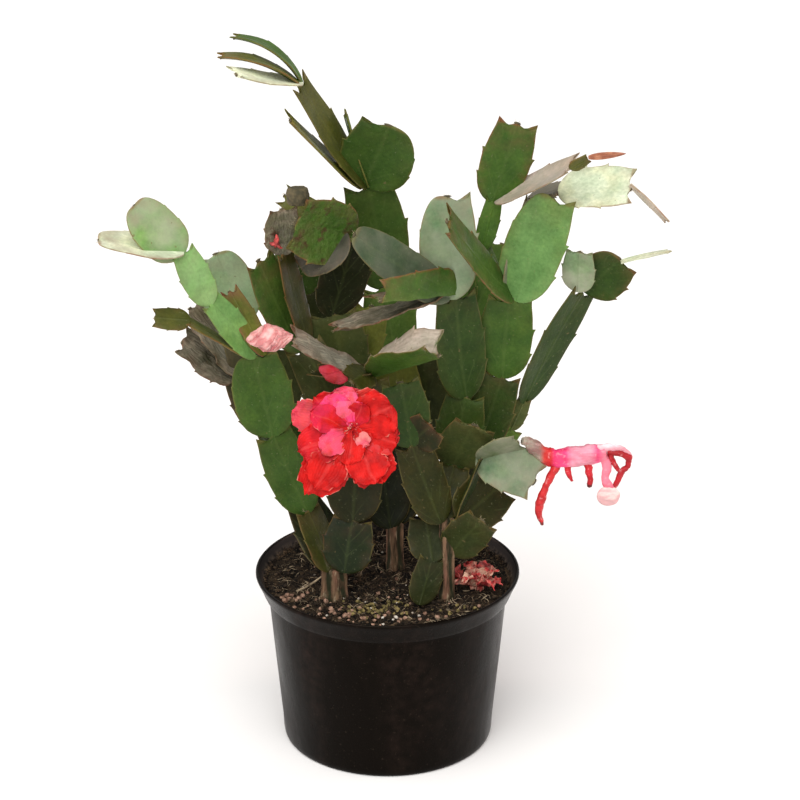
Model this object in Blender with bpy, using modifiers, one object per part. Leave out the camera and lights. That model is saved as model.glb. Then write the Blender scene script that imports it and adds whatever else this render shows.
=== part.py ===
"""A holiday cactus in a black nursery pot, standing on the pot's flat floor.

Metres, +Z up, with the origin at the centre of the pot's floor and the front towards -Y.
"""

import math
import random

import bmesh
import bpy
from mathutils import Matrix, Vector

MM = 0.001
GAP = 0.3 * MM  # clearance between pieces that rest on each other

# The pot: a tapered plastic shell with a sloping collar under its rim
POT_HEIGHT = 95 * MM
RIM_RADIUS = 70 * MM
COLLAR_HEIGHT = 11.5 * MM
COLLAR_FOOT_RADIUS = 65.5 * MM
BODY_RADIUS = 63.4 * MM
FOOT_RADIUS = 56.2 * MM
FLOOR_RADIUS = 54 * MM
WALL = 1.6 * MM
POT_STEPS = 36
DRAIN_RADIUS = 4 * MM
DRAIN_CIRCLE = 36 * MM
DRAIN_COUNT = 4

# The soil: its level in the middle and at the wall, and the size of its lumps
SOIL_MIDDLE = 86 * MM
SOIL_EDGE = 88.5 * MM
SOIL_RINGS = 7
SOIL_ROUGHNESS = 0.9 * MM
PEBBLE_COUNT = 16

# The trunks: centre on the soil, width and depth of the oval, and the top
TRUNK_ROOT = 18 * MM  # length inside the soil
TRUNKS = {
    "left": dict(x=-28, y=-20, wide=15, deep=9, top=104, ribs=5),
    "middle": dict(x=4, y=18, wide=10, deep=9, top=113, ribs=4),
    "right": dict(x=31, y=-19, wide=9, deep=9, top=133, ribs=4),
}

# A flat segment: thickness at the rib and at the edge, and how far it sinks into the last one
RIB = 2.4 * MM
EDGE = 0.85 * MM
SINK = 2.6 * MM
FRONT = Vector((0, -0.93, 0.36))  # a segment with no turn faces this way

# A segment's outline, from its joint to its cut-off tip.
# Each row is the place along the rib, the place along the edge and the share of the half width.
SEGMENT_OUTLINE = (
    (0.00, 0.00, 0.26),
    (0.18, 0.18, 0.84),
    (0.52, 0.59, 1.04),
    (0.62, 0.63, 0.94),
    (0.90, 1.00, 0.72),
    (0.98, 0.96, 0.38),
)
PETAL_OUTLINE = (
    (0.00, 0.00, 0.34),
    (0.42, 0.40, 0.92),
    (0.78, 0.74, 0.88),
    (1.00, 0.97, 0.16),
)

# Each stem has the point it leaves its trunk at, in mm, and its segments.
# A segment's key is the key of the one it grows on and one more letter. Then come its length
# and width in mm, its lean to the right of upright, its reach towards the front, the turn of
# its face to the right, its bow and its fold along the rib in degrees, and how far across the
# last tip it is joined, in mm.
STEMS = {
    "stem_left_outer": ("left", (-30.5, -20, 105), (
        ("a", 33, 22, -21, -10, 50, 5, 5, 0),
        ("aa", 49, 24, -20, 7, 10, 6, 5, 0),
        ("aaa", 46, 30, -11, 7, 0, 6, 8, 0),
        ("aaaa", 38, 17, -34, 12, 35, 8, 10, 0),
        ("aaaaa", 30, 16, -24, 8, 15, -8, 10, 0),
        ("aaaaaa", 33.5, 24, -43, 4, 15, 8, 8, -2),
        ("aaaaab", 42, 24, -79, 11, 62, 5, 10, -2),
        ("aaab", 34, 13, -22, -17, 30, -12, 10, 5),
        ("aaac", 40, 14, -57, 15, 75, 0, 5, -4),
        ("aaaca", 16, 13, -83, 7, 30, 0, 5, 0),
    )),
    "stem_left_back": ("left", (-29, -14, 102), (
        ("a", 40, 24, -30, -34, 20, 0, 5, 0),
        ("aa", 44, 24, -28, -7, 60, 5, 5, 0),
        ("ab", 52, 26, 8, -20, 10, 5, 5, 0),
        ("aaa", 33, 23, -21, -4, 15, 5, 8, 3),
        ("aab", 46, 28, 20, -8, 5, 5, 5, 4),
        ("aaaa", 35, 24, -57, 7, 40, 5, 10, -4),
        ("aaab", 43, 20, -36, -5, 50, 8, 10, 0),
        ("aaac", 26, 20, 1, -9, 20, 5, 5, 4),
        ("aaaca", 41, 29, -15, 3, 0, 6, 8, 0),
    )),
    "stem_left_inner": ("left", (-21.8, -23, 105.5), (
        ("a", 27, 26, 9, -11, -5, 5, 8, 0),
        ("aa", 39, 28, 5, -6, 5, 5, 8, 0),
        ("aaa", 60, 26, -30, -13, 20, 5, 8, -4),
        ("aaaa", 56, 23, -23, 12, 35, 6, 8, -3),
        ("aaab", 55, 20, -10, 8, 60, 5, 8, 3),
        ("aaaba", 24, 22, 2, 11, 20, 10, 15, 0),
        ("aab", 45, 28, 6, 12, -10, 5, 8, 4),
        ("aaba", 43, 28, 67, 22, -75, 5, 42, 4),
        ("aabb", 47.5, 18, -57, 18.5, 60, 5, 10, -4),
        ("aabc", 29, 22, -95, -15, 70, 5, 10, 0),
        ("aabd", 20.5, 16, -76, 65, 20, 5, 5, 0),
    )),
    "stem_middle_left": ("middle", (1, 15, 114), (
        ("a", 41, 26, -10, -10, 0, 5, 5, 0),
        ("aa", 47, 28, -18, 8, 5, 5, 5, 0),
        ("aaa", 38, 30, -12, 7, 0, 5, 5, -2),
        ("aab", 41, 22, 18, -2, 20, 5, 5, 5),
        ("aaaa", 45, 26, 15, 9, 25, 5, 8, 0),
        ("aaaaa", 38, 34, -65, 31, -20, 10, 15, -3),
        ("aaaab", 32, 28, -120, 11, 30, 10, 10, -6),
        ("aaaac", 42, 14, -62, -12, 10, 10, 8, 0),
    )),
    "stem_middle_tall": ("middle", (5, 21, 114), (
        ("a", 42, 26, 4, -24, 0, 5, 5, 0),
        ("aa", 45, 28, -5, 0, 5, 5, 5, 0),
        ("aaa", 46, 30, -7, 6, 20, 5, 5, 0),
        ("aaaa", 61, 31, -8, 13, 0, 6, 8, 0),
        ("aaaaa", 38, 37, 19, 18, 10, 12, 12, -1),
        ("aaaab", 66, 24, -32, 10, 62, 6, 8, -2),
        ("aaaac", 60, 18, -44, 23, 70, 4, 6, -5),
        ("aaaad", 38, 13, -17, -4, 84, 5, 5, 0),
        ("aaaaba", 36, 20, -74, 30, 65, 8, 8, 0),
        ("aaaabb", 41, 17, -70, 6, 74, -45, 8, -2),
        ("aaaabc", 39, 15, -56, -9, 74, -60, 8, 2),
    )),
    "stem_right_inner": ("right", (26.8, -23.8, 134), (
        ("a", 46, 23, -19, 2, 18, 8, 8, 0),
        ("aa", 35, 24, -9, 4, 8, 5, 8, 0),
        ("ab", 15, 22, 47, 7, 10, 5, 8, 3),
    )),
    "stem_right_upright": ("right", (27.5, -19.6, 134), (
        ("a", 30, 20, 21, -44, 0, 5, 5, 0),
        ("aa", 38, 25, 8, -6, 0, 5, 8, 0),
        ("aaa", 59, 27, -6, 8, 15, 6, 8, 0),
        ("aaaa", 52, 29, -4.5, -3, -5, 6, 6, -2),
        ("aaab", 68, 22, -53, 19, 20, 10, 10, -5),
        ("aaac", 50, 25, -80, 39, 118, 5, 42, 2),
        ("aaad", 65, 20, -103, 14, 65, 5, 10, -9),
        ("ab", 38, 27, 18, 32, 10, 8, 8, 0),
    )),
    "stem_right_top": ("right", (33.5, -13.6, 134), (
        ("a", 37, 22, 32, -51, 0, 5, 5, 0),
        ("aa", 49, 24, 17, 3, 0, 5, 8, 0),
        ("aaa", 44, 28, 4, 5, 0, 5, 8, 0),
        ("aaaa", 63, 30, 19, 12, -8, 8, 8, 4),
        ("aaab", 79, 22, -32, 35, 55, 5, 6, 0),
        ("aaac", 52, 14, 11, -11, 60, 8, 8, -3),
        ("aaad", 29, 15, -31, -10, 50, 5, 8, -5),
        ("aaada", 28, 11, 12, 6, 15, 5, 8, 0),
        ("aaadaa", 43.5, 25, 15, 8, 5, 6, 8, 0),
        ("aaadab", 51, 22, 58, 28, -60, 6, 10, 3),
        ("aaadaba", 8, 9, 59, 0, 55, 5, 8, 0),
        ("aaaca", 19, 18, 70, 24, -60, 4, 8, 3),
        ("aaacaa", 36, 28, 84, 16, -38, 10, 10, 0),
        ("aaacaaa", 24, 8, 134, 5, 80, 10, 5, 0),
    )),
    "stem_right_outer": ("right", (35, -16, 124), (
        ("a", 52, 22, 32, -53, 0, 5, 5, 0),
        ("aa", 22, 16, 42, 7, 20, 5, 5, 0),
        ("aaa", 18, 9, 20, 9, 0, 0, 5, 0),
        ("aaaa", 69, 22, 25, 3, 45, 6, 8, 0),
        ("aaaaa", 26, 17, -8, 23, -15, 8, 8, -4),
        ("aaaab", 28, 27, 42, 19, 15, 12, 12, 3),
        ("aaaaba", 25, 12, 84, -5, 85, 10, 5, 3),
    )),
    "stem_right_low": ("right", (36.3, -22.5, 134), (
        ("a", 36, 18, 20, -1, 80, 5, 8, 0),
        ("aa", 22, 20, 62, 11, 55, 8, 8, 0),
        ("ab", 32, 25, 108, 26, -8, 8, 8, 2),
        ("b", 30, 28, 60, -28, 10, 8, 8, 2),
    )),
    "stem_right_side": ("right", (34, -20, 114), (
        ("a", 31, 22, 33, 24, 10, 8, 8, 0),
    )),
    "stem_back": ("middle", (3, 24, 112), (
        ("a", 44, 26, -17, -27, 20, 5, 5, 0),
        ("aa", 49, 28, -29, -17, -10, 5, 8, 0),
        ("aaa", 41, 28, -23, -11, 10, 8, 8, 0),
        ("aaaa", 46, 26, 13, 10, 20, 8, 8, -3),
        ("aaab", 25, 24, -33, -18, -10, 8, 8, 4),
        ("b", 42, 26, 28, -35, -20, 5, 5, 0),
        ("ba", 42, 28, 27, -17, 10, 5, 8, 0),
        ("baa", 38, 28, 10, -15, -15, 8, 8, 0),
        ("baaa", 42, 28, 27, -11, 15, 8, 8, 3),
        ("baab", 42, 24, -22, -2, -20, 8, 8, -4),
        ("bb", 58, 28, 0, 0, 0, 5, 5, 0),
    )),
    "shoot_right": ("right", (17, -30, 90.5), (
        ("a", 23, 17, 16, -18, 25, 0, 5, 0),
        ("aa", 22, 22, -9, -22, 10, 5, 5, 0),
    )),
}
SHOOT_STUB_RADIUS = 2.2 * MM
SHOOT_STUB_LENGTH = 12 * MM

# Flowers, in mm. A bud or tube is a list of points on its middle line, each with a radius.
FLOWER_CENTRE = Vector((-17.3, -50, 194)) * MM
FLOWER_FACE = Vector((0.02, -0.95, 0.30))
FLOWER_TUBE = ((-16.3, -43.7, 213.8, 1.6), (-18, -44.5, 209, 3.0), (-17.6, -44, 203, 3.4),
               (-17.3, -45, 197, 4.2), (-17.3, -49, 194.5, 4.6))
# Petals of the open flower: clockwise angle from the top, opening, length and width
FLOWER_PETALS = (
    (275, 90, 33, 16), (222, 80, 34, 16), (172, 90, 30, 16), (122, 80, 28, 16),
    (72, 90, 26, 14), (12, 80, 24, 14), (322, 84, 27, 14),
    (250, 60, 22, 13), (190, 60, 23, 13), (120, 60, 20, 12), (15, 60, 18, 12),
    (215, 30, 13, 8), (95, 30, 13, 8), (335, 30, 12, 7),
)
BUD_PINK = ((-47.7, -38.1, 238.4, 1.6), (-51.5, -39, 238.9, 4.2), (-56, -40, 239.2, 6.4),
            (-61, -41, 239.3, 6.2), (-65.5, -41.6, 239, 3.8), (-69.2, -42, 238.7, 0.8))
BUD_RED = ((-20.4, -41.4, 217.7, 1.4), (-23.4, -44.2, 219.2, 3.0), (-27, -45, 221.8, 3.9),
           (-30.5, -45.6, 224, 3.0), (-33.4, -46, 225.6, 0.8))
WILTED_TUBES = (
    ((69.0, -24.2, 177.2, 1.6), (71.4, -24.0, 176.9, 2.8), (74.5, -24.6, 174.8, 3.8),
     (79, -26.6, 171.6, 4.0), (84, -28, 170.4, 4.6), (91, -29.4, 171, 5.4), (99, -30, 172.4, 5.8),
     (106, -30, 173.4, 4.8)),
    ((84, -29, 168, 2.4), (83, -30, 163, 2.2), (80.5, -31.4, 154, 1.7), (79, -32, 146, 1.4),
     (77.6, -32, 136, 0.9)),
    ((91, -30, 168, 2.2), (91.6, -31, 163, 1.8), (91.3, -31.4, 157.5, 0.9)),
    ((101, -30, 170, 2.2), (102.4, -30.6, 163, 1.8), (102, -31, 155.5, 0.9)),
    ((105, -30, 174.5, 3.4), (112, -30.4, 176, 2.6), (119, -31, 174, 2.4), (122.4, -31.6, 169, 2.2),
     (120, -32, 162, 2.0), (116, -32, 156, 1.8), (114.5, -32, 149.5, 0.9)),
    ((106, -31, 171, 3.4), (110.5, -32, 166, 2.6), (110, -33, 159, 2.0), (112.4, -33, 151.5, 1.2)),
)
SHOOT_ORANGE = ((99.8, -14.2, 324.4), 17, 7)
FALLEN_CENTRE = Vector((47.5, -13, 0)) * MM
FALLEN_PETALS = ((20, 62, 14, 8), (85, 42, 12, 8), (150, 64, 14, 7), (215, 50, 13, 8),
                 (270, 64, 15, 8), (325, 46, 12, 7))
PETAL_THICKNESS = 1.0 * MM
PETAL_EDGE = 0.7 * MM

COLOURS = {
    "pot": ((0.020, 0.016, 0.017), 0.45),
    "soil": ((0.050, 0.035, 0.024), 0.95),
    "bark": ((0.230, 0.150, 0.085), 0.85),
    "segment": ((0.065, 0.150, 0.045), 0.42),
    "flower": ((0.720, 0.020, 0.025), 0.45),
    "wilted": ((0.640, 0.060, 0.120), 0.50),
    "bud_pink": ((0.820, 0.420, 0.380), 0.45),
    "shoot": ((0.520, 0.150, 0.060), 0.45),
    "dry": ((0.420, 0.110, 0.080), 0.80),
}


def clear_scene():
    """Removes what the scene holds at the start."""
    for thing in list(bpy.data.objects):
        bpy.data.objects.remove(thing, do_unlink=True)


def finish(name):
    """The material of a finish, made once."""
    found = bpy.data.materials.get(name)
    if found:
        return found
    colour, roughness = COLOURS[name]
    material = bpy.data.materials.new(name)
    material.use_nodes = True
    shader = material.node_tree.nodes["Principled BSDF"]
    shader.inputs["Base Color"].default_value = (*colour, 1.0)
    shader.inputs["Roughness"].default_value = roughness
    shader.inputs["Metallic"].default_value = 0.0
    return material


def keep(thing, name, collection, finish_name):
    """Names a finished part, gives it its material and puts it in the object's collection."""
    thing.name = name
    thing.data.name = name
    thing.data.materials.clear()
    thing.data.materials.append(finish(finish_name))
    move_to(thing, collection)
    thing.data.shade_smooth()
    thing.data.set_sharp_from_angle(angle=math.radians(40))


def move_to(thing, collection):
    """Takes an object out of its collections and puts it in one."""
    for old in list(thing.users_collection):
        old.objects.unlink(thing)
    collection.objects.link(thing)


def apply_modifiers(thing):
    """Applies all modifiers of an object, in order."""
    bpy.ops.object.select_all(action="DESELECT")
    bpy.context.view_layer.objects.active = thing
    thing.select_set(True)
    for modifier in list(thing.modifiers):
        bpy.ops.object.modifier_apply(modifier=modifier.name)


def turned(name, profile, steps):
    """A turned solid: a profile of (radius, height) points, spun round Z."""
    mesh = bpy.data.meshes.new(name)
    points = [(radius, 0.0, height) for radius, height in profile]
    mesh.from_pydata(points, [(i, i + 1) for i in range(len(points) - 1)], [])
    thing = bpy.data.objects.new(name, mesh)
    bpy.context.scene.collection.objects.link(thing)
    screw = thing.modifiers.new("turn", "SCREW")
    screw.steps = steps
    screw.render_steps = steps
    screw.use_merge_vertices = True
    screw.merge_threshold = 0.00001
    apply_modifiers(thing)
    return thing


def tube(name, points, resolution=2):
    """A round tube through points that each hold a radius, as a closed mesh."""
    curve = bpy.data.curves.new(name, "CURVE")
    curve.dimensions = "3D"
    curve.bevel_depth = 1.0 * MM
    curve.bevel_resolution = resolution
    curve.use_fill_caps = True
    spline = curve.splines.new("POLY")
    spline.points.add(len(points) - 1)
    for place, (x, y, z, radius) in zip(spline.points, points):
        place.co = (x * MM, y * MM, z * MM, 1.0)
        place.radius = radius
    guide = bpy.data.objects.new(name, curve)
    bpy.context.scene.collection.objects.link(guide)
    graph = bpy.context.evaluated_depsgraph_get()
    mesh = bpy.data.meshes.new_from_object(guide.evaluated_get(graph))
    weld = bmesh.new()
    weld.from_mesh(mesh)
    bmesh.ops.remove_doubles(weld, verts=weld.verts[:], dist=0.00001)
    bmesh.ops.recalc_face_normals(weld, faces=weld.faces[:])
    weld.to_mesh(mesh)
    weld.free()
    thing = bpy.data.objects.new(name, mesh)
    thing.matrix_world = guide.matrix_world
    bpy.context.scene.collection.objects.link(thing)
    bpy.data.objects.remove(guide, do_unlink=True)
    return thing


def blade(name, outline, length, width, rib, edge, bow, fold):
    """A thin blade along +Y that faces +Z: a rib and two edges, on the rows of its outline."""
    last = len(outline) - 1
    bpy.ops.mesh.primitive_grid_add(x_subdivisions=2, y_subdivisions=last, size=2)
    thing = bpy.context.object
    thing.name = name
    sag = length * math.tan(math.radians(bow) / 4) / 2
    rise = math.tan(math.radians(fold))
    middle = []
    for vertex in thing.data.vertices:
        at_rib, at_edge, share = outline[round((vertex.co.y + 1) / 2 * last)]
        on_edge = abs(vertex.co.x) > 0.5
        along = at_edge if on_edge else at_rib
        across = vertex.co.x * share * width / 2
        if not on_edge:
            middle.append(vertex.index)
        vertex.co = (across, along * length, abs(across) * rise - 4 * sag * along * (1 - along))
    cage = bmesh.new()
    cage.from_mesh(thing.data)
    bmesh.ops.triangulate(cage, faces=cage.faces[:])
    cage.to_mesh(thing.data)
    cage.free()
    thing.vertex_groups.new(name="rib").add(middle, 1.0, "REPLACE")
    solid = thing.modifiers.new("thickness", "SOLIDIFY")
    solid.thickness = rib
    solid.offset = 0.0
    solid.vertex_group = "rib"
    solid.thickness_vertex_group = edge / rib
    apply_modifiers(thing)
    return thing


def place(thing, base, along, normal):
    """Puts a blade's joint at base, its rib along one way and its face to another."""
    across = along.cross(normal).normalized()
    turn = Matrix((across, along, normal)).transposed().to_4x4()
    thing.matrix_world = Matrix.Translation(base) @ turn


def direction(lean, reach):
    """The way a segment grows: its lean to the right of upright, its reach to the front."""
    side = math.radians(lean)
    out = math.radians(reach)
    return Vector((math.sin(side) * math.cos(out), -math.sin(out), math.cos(side) * math.cos(out)))


def face(along, turn):
    """The way a segment's face looks when it grows along a line and is turned about it."""
    ahead = (FRONT - along * FRONT.dot(along)).normalized()
    across = along.cross(ahead)
    return ahead * math.cos(math.radians(turn)) + across * math.sin(math.radians(turn))


def grow(root, rows):
    """The segments of one stem, each one sunk into the tip of the one that it grows on."""
    tips = {"": (Vector(root) * MM, Vector((1, 0, 0)))}
    pieces = []
    for key, length, width, lean, reach, turn, bow, fold, side in rows:
        joint, last_across = tips[key[:-1]]
        tip = joint + direction(lean, reach) * length * MM
        base = joint + last_across * side * MM
        along = (tip - base).normalized()
        normal = face(along, turn)
        size = (tip - base).length + SINK
        piece = blade(key, SEGMENT_OUTLINE, size, width * MM, RIB, EDGE, bow, fold)
        place(piece, base - along * SINK, along, normal)
        pieces.append(piece)
        tips[key] = (tip, along.cross(normal))
    return pieces


def fuse(pieces, solver="EXACT"):
    """Joins overlapping pieces into the first of them, by one union on a collection."""
    body = pieces[0]
    if len(pieces) > 1:
        rest = bpy.data.collections.new("repeats")
        bpy.context.scene.collection.children.link(rest)
        for piece in pieces[1:]:
            move_to(piece, rest)
        union = body.modifiers.new("union", "BOOLEAN")
        union.operation = "UNION"
        union.operand_type = "COLLECTION"
        union.collection = rest
        union.solver = solver
        apply_modifiers(body)
        for piece in list(rest.objects):
            bpy.data.objects.remove(piece, do_unlink=True)
        bpy.data.collections.remove(rest)
    return body


def cut(body, cutters):
    """Takes the space of each cutter out of a body."""
    for number, cutter in enumerate(cutters):
        take = body.modifiers.new(f"cut_{number}", "BOOLEAN")
        take.operation = "DIFFERENCE"
        take.object = cutter
    apply_modifiers(body)


def drop_scraps(body):
    """Keeps the largest of the skins that a body's faces make, and drops folded scraps."""
    mesh = bmesh.new()
    mesh.from_mesh(body.data)
    bmesh.ops.triangulate(mesh, faces=mesh.faces[:])
    unseen = set(mesh.faces)
    skins = []
    while unseen:
        front = [unseen.pop()]
        skin = set(front)
        while front:
            for edge in front.pop().edges:
                if len(edge.link_faces) != 2:
                    continue
                for other in edge.link_faces:
                    if other in unseen:
                        unseen.remove(other)
                        skin.add(other)
                        front.append(other)
        skins.append(skin)
    skins.sort(key=len)
    for skin in skins[:-1]:
        bmesh.ops.delete(mesh, geom=list(skin), context="FACES")
    mesh.to_mesh(body.data)
    mesh.free()


def make_pot(parts, cutters):
    """The pot, turned as one shell, with drain holes round its floor."""
    collar_foot = POT_HEIGHT - COLLAR_HEIGHT
    profile = (
        (0, WALL + 0.2 * MM),
        (FLOOR_RADIUS, WALL + 0.2 * MM),
        (FOOT_RADIUS - WALL, 5 * MM),
        (BODY_RADIUS - WALL, collar_foot - 1 * MM),
        (RIM_RADIUS - WALL - 0.6 * MM, POT_HEIGHT - 2 * MM),
        (RIM_RADIUS - WALL, POT_HEIGHT - 0.4 * MM),
        (RIM_RADIUS - 0.9 * MM, POT_HEIGHT),
        (RIM_RADIUS - 0.1 * MM, POT_HEIGHT - 0.5 * MM),
        (RIM_RADIUS, POT_HEIGHT - 1.6 * MM),
        (COLLAR_FOOT_RADIUS, collar_foot),
        (COLLAR_FOOT_RADIUS - 0.6 * MM, collar_foot - 0.5 * MM),
        (BODY_RADIUS, collar_foot - 0.6 * MM),
        (FOOT_RADIUS, 6 * MM),
        (FOOT_RADIUS - 1.3 * MM, 1.8 * MM),
        (FLOOR_RADIUS, 0),
        (0, 0),
    )
    pot = turned("pot", profile, POT_STEPS)
    drains = []
    for number in range(DRAIN_COUNT):
        angle = 2 * math.pi * (number + 0.37) / DRAIN_COUNT
        bpy.ops.mesh.primitive_cylinder_add(vertices=10, radius=DRAIN_RADIUS, depth=12 * MM)
        drain = bpy.context.object
        drain.name = f"drain_{number}"
        drain.location = (DRAIN_CIRCLE * math.cos(angle), DRAIN_CIRCLE * math.sin(angle), 0)
        guide(drain, cutters)
        drains.append(drain)
    cut(pot, drains)
    keep(pot, "pot", parts, "pot")


def guide(thing, cutters):
    """Marks an object as a cutter."""
    thing.hide_render = True
    thing.display_type = "WIRE"
    move_to(thing, cutters)


def soil_height(x, y):
    """The level of the soil: lumpy, highest at the wall, flat under the fallen flower."""
    radius = math.hypot(x, y)
    share = radius / (RIM_RADIUS - 6 * MM)
    level = SOIL_MIDDLE + (SOIL_EDGE - SOIL_MIDDLE) * share ** 2
    lumps = math.sin(310 * x + 2.1) * math.cos(275 * y - 0.6)
    lumps += 0.6 * math.sin(610 * x - 420 * y)
    away = math.hypot(x - FALLEN_CENTRE.x, y - FALLEN_CENTRE.y) / (15 * MM)
    calm = min(1.0, max(0.0, away - 0.6)) * min(1.0, max(0.0, (1 - share) * 6))
    return level + SOIL_ROUGHNESS * lumps * calm


def make_soil(parts, spaces):
    """The soil: a plug that fills the pot, with a lumpy top, pebbles and the stems' holes."""
    wall = WALL + GAP + 0.1 * MM
    collar_foot = POT_HEIGHT - COLLAR_HEIGHT
    slope = (RIM_RADIUS - BODY_RADIUS) / COLLAR_HEIGHT
    top_radius = BODY_RADIUS - wall + (SOIL_EDGE - collar_foot) * slope * 0.8
    rings = [(top_radius * number / SOIL_RINGS, SOIL_EDGE) for number in range(SOIL_RINGS + 1)]
    below = [
        (BODY_RADIUS - wall, collar_foot - 1.2 * MM),
        (FOOT_RADIUS - wall, 5 * MM),
        (FLOOR_RADIUS - 0.4 * MM, WALL + 0.2 * MM + GAP),
        (0, WALL + 0.2 * MM + GAP),
    ]
    soil = turned("soil", rings + below, POT_STEPS)
    for vertex in soil.data.vertices:
        if vertex.co.z > SOIL_EDGE - 0.1 * MM:
            vertex.co.z = soil_height(vertex.co.x, vertex.co.y)
    draw = random.Random(7)
    pieces = [soil]
    while len(pieces) <= PEBBLE_COUNT:
        radius = draw.uniform(1.5, 2.6) * MM
        spread = draw.uniform(12, 57) * MM
        angle = math.radians(draw.uniform(190, 350))
        x = spread * math.cos(angle)
        y = spread * math.sin(angle)
        turn = (draw.uniform(0, 3), draw.uniform(0, 3), draw.uniform(0, 3))
        near_stem = any(math.hypot(x - space.location.x, y - space.location.y) < 12 * MM
                        for space in spaces)
        near_flower = math.hypot(x - FALLEN_CENTRE.x, y - FALLEN_CENTRE.y) < 19 * MM
        if near_stem or near_flower:
            continue
        bpy.ops.mesh.primitive_ico_sphere_add(subdivisions=1, radius=radius, rotation=turn)
        pebble = bpy.context.object
        pebble.location = (x, y, soil_height(x, y) + 0.3 * radius)
        pieces.append(pebble)
    fuse(pieces)
    cut(soil, spaces)
    drop_scraps(soil)
    keep(soil, "soil", parts, "soil")


def make_trunk(side, parts, cutters):
    """A corky trunk, grooved along its length, and the space that it needs."""
    size = TRUNKS[side]
    x, y = size["x"] * MM, size["y"] * MM
    top = size["top"] * MM
    bottom = SOIL_MIDDLE - TRUNK_ROOT
    half_wide, half_deep = size["wide"] / 2 * MM, size["deep"] / 2 * MM
    bpy.ops.mesh.primitive_cylinder_add(vertices=16, radius=1, depth=top - bottom)
    trunk = bpy.context.object
    trunk.location = (x, y, (top + bottom) / 2)
    rings = bmesh.new()
    rings.from_mesh(trunk.data)
    upright = [edge for edge in rings.edges if abs(edge.verts[0].co.z - edge.verts[1].co.z) > MM]
    bmesh.ops.subdivide_edges(rings, edges=upright, cuts=4)
    for vertex in rings.verts:
        angle = math.atan2(vertex.co.y, vertex.co.x)
        height = vertex.co.z + (top + bottom) / 2
        above = min(1.0, max(0.0, (height - SOIL_EDGE) / (4 * MM)))
        twist = 0.03 * (height - bottom) / MM
        groove = 0.5 - 0.5 * math.cos(size["ribs"] * angle + twist)
        pinch = 0.08 * math.sin((height - bottom) * 130)
        girth = 1 - above * (0.20 * groove + 0.05 + pinch * 0.5)
        vertex.co.x = math.cos(angle) * half_wide * girth
        vertex.co.y = math.sin(angle) * half_deep * girth
    rings.to_mesh(trunk.data)
    rings.free()
    keep(trunk, f"trunk_{side}", parts, "bark")
    bpy.ops.mesh.primitive_cylinder_add(vertices=16, radius=1, depth=top - bottom + 2 * GAP)
    space = bpy.context.object
    space.name = f"trunk_{side}_space"
    for vertex in space.data.vertices:
        vertex.co.x *= half_wide + GAP
        vertex.co.y *= half_deep + GAP
    space.location = trunk.location
    guide(space, cutters)
    return space


def make_shoot_stub(cutters):
    """The round foot of the shoot that comes straight out of the soil, and its hole."""
    x, y, z = STEMS["shoot_right"][1]
    top = z * MM + 1.5 * MM
    bottom = top - SHOOT_STUB_LENGTH
    bpy.ops.mesh.primitive_cylinder_add(vertices=10, radius=SHOOT_STUB_RADIUS, depth=top - bottom)
    stub = bpy.context.object
    stub.location = (x * MM, y * MM, (top + bottom) / 2)
    bpy.ops.mesh.primitive_cylinder_add(
        vertices=10, radius=SHOOT_STUB_RADIUS + GAP, depth=top - bottom + 2 * GAP)
    hole = bpy.context.object
    hole.name = "shoot_hole"
    hole.location = stub.location
    guide(hole, cutters)
    return stub, hole


def make_stems(parts, spaces, stub):
    """All stems, each one body that stops short of its trunk."""
    for name, (side, root, rows) in STEMS.items():
        pieces = grow(root, rows)
        if name == "shoot_right":
            pieces.append(stub)
        stem = fuse(pieces, "MANIFOLD")  # thin blades that cross at low angles
        cut(stem, [spaces[side]])
        drop_scraps(stem)
        keep(stem, name, parts, "segment")


def petals(centre, axis, rows, sink):
    """Petals round an axis. Each row is the clockwise angle, opening, length and width."""
    up = Vector((0, 0, 1)) if abs(axis.z) < 0.9 else Vector((0, 1, 0))
    up = (up - axis * up.dot(axis)).normalized()
    right = up.cross(axis).normalized()
    pieces = []
    for angle, opening, length, width in rows:
        turn = math.radians(angle)
        radial = up * math.cos(turn) + right * math.sin(turn)
        open_by = math.radians(opening)
        along = radial * math.sin(open_by) + axis * math.cos(open_by)
        normal = axis * math.sin(open_by) - radial * math.cos(open_by)
        petal = blade("petal", PETAL_OUTLINE, length * MM, width * MM,
                      PETAL_THICKNESS, PETAL_EDGE, -22, 12)
        place(petal, centre + radial * 1.2 * MM - along * sink, along, normal)
        pieces.append(petal)
    return pieces


def make_flowers(parts):
    """The open flower, the buds, the wilted flower and the young orange shoot."""
    axis = FLOWER_FACE.normalized()
    throat = tube("throat", FLOWER_TUBE)
    open_flower = fuse([throat] + petals(FLOWER_CENTRE, axis, FLOWER_PETALS, 0.8 * MM))
    drop_scraps(open_flower)
    keep(open_flower, "flower_open", parts, "flower")
    keep(tube("bud", BUD_RED), "bud_red", parts, "flower")
    keep(tube("bud", BUD_PINK), "bud_pink", parts, "bud_pink")
    wilted = fuse([tube("wilted", points, 1) for points in WILTED_TUBES])
    drop_scraps(wilted)
    keep(wilted, "flower_wilted", parts, "wilted")
    start, length, width = SHOOT_ORANGE
    shoot = blade("shoot", SEGMENT_OUTLINE, length * MM, width * MM, 1.6 * MM, EDGE, 8, 5)
    along = direction(85, 0)
    place(shoot, Vector(start) * MM, along, face(along, 20))
    keep(shoot, "shoot_orange", parts, "shoot")


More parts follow.
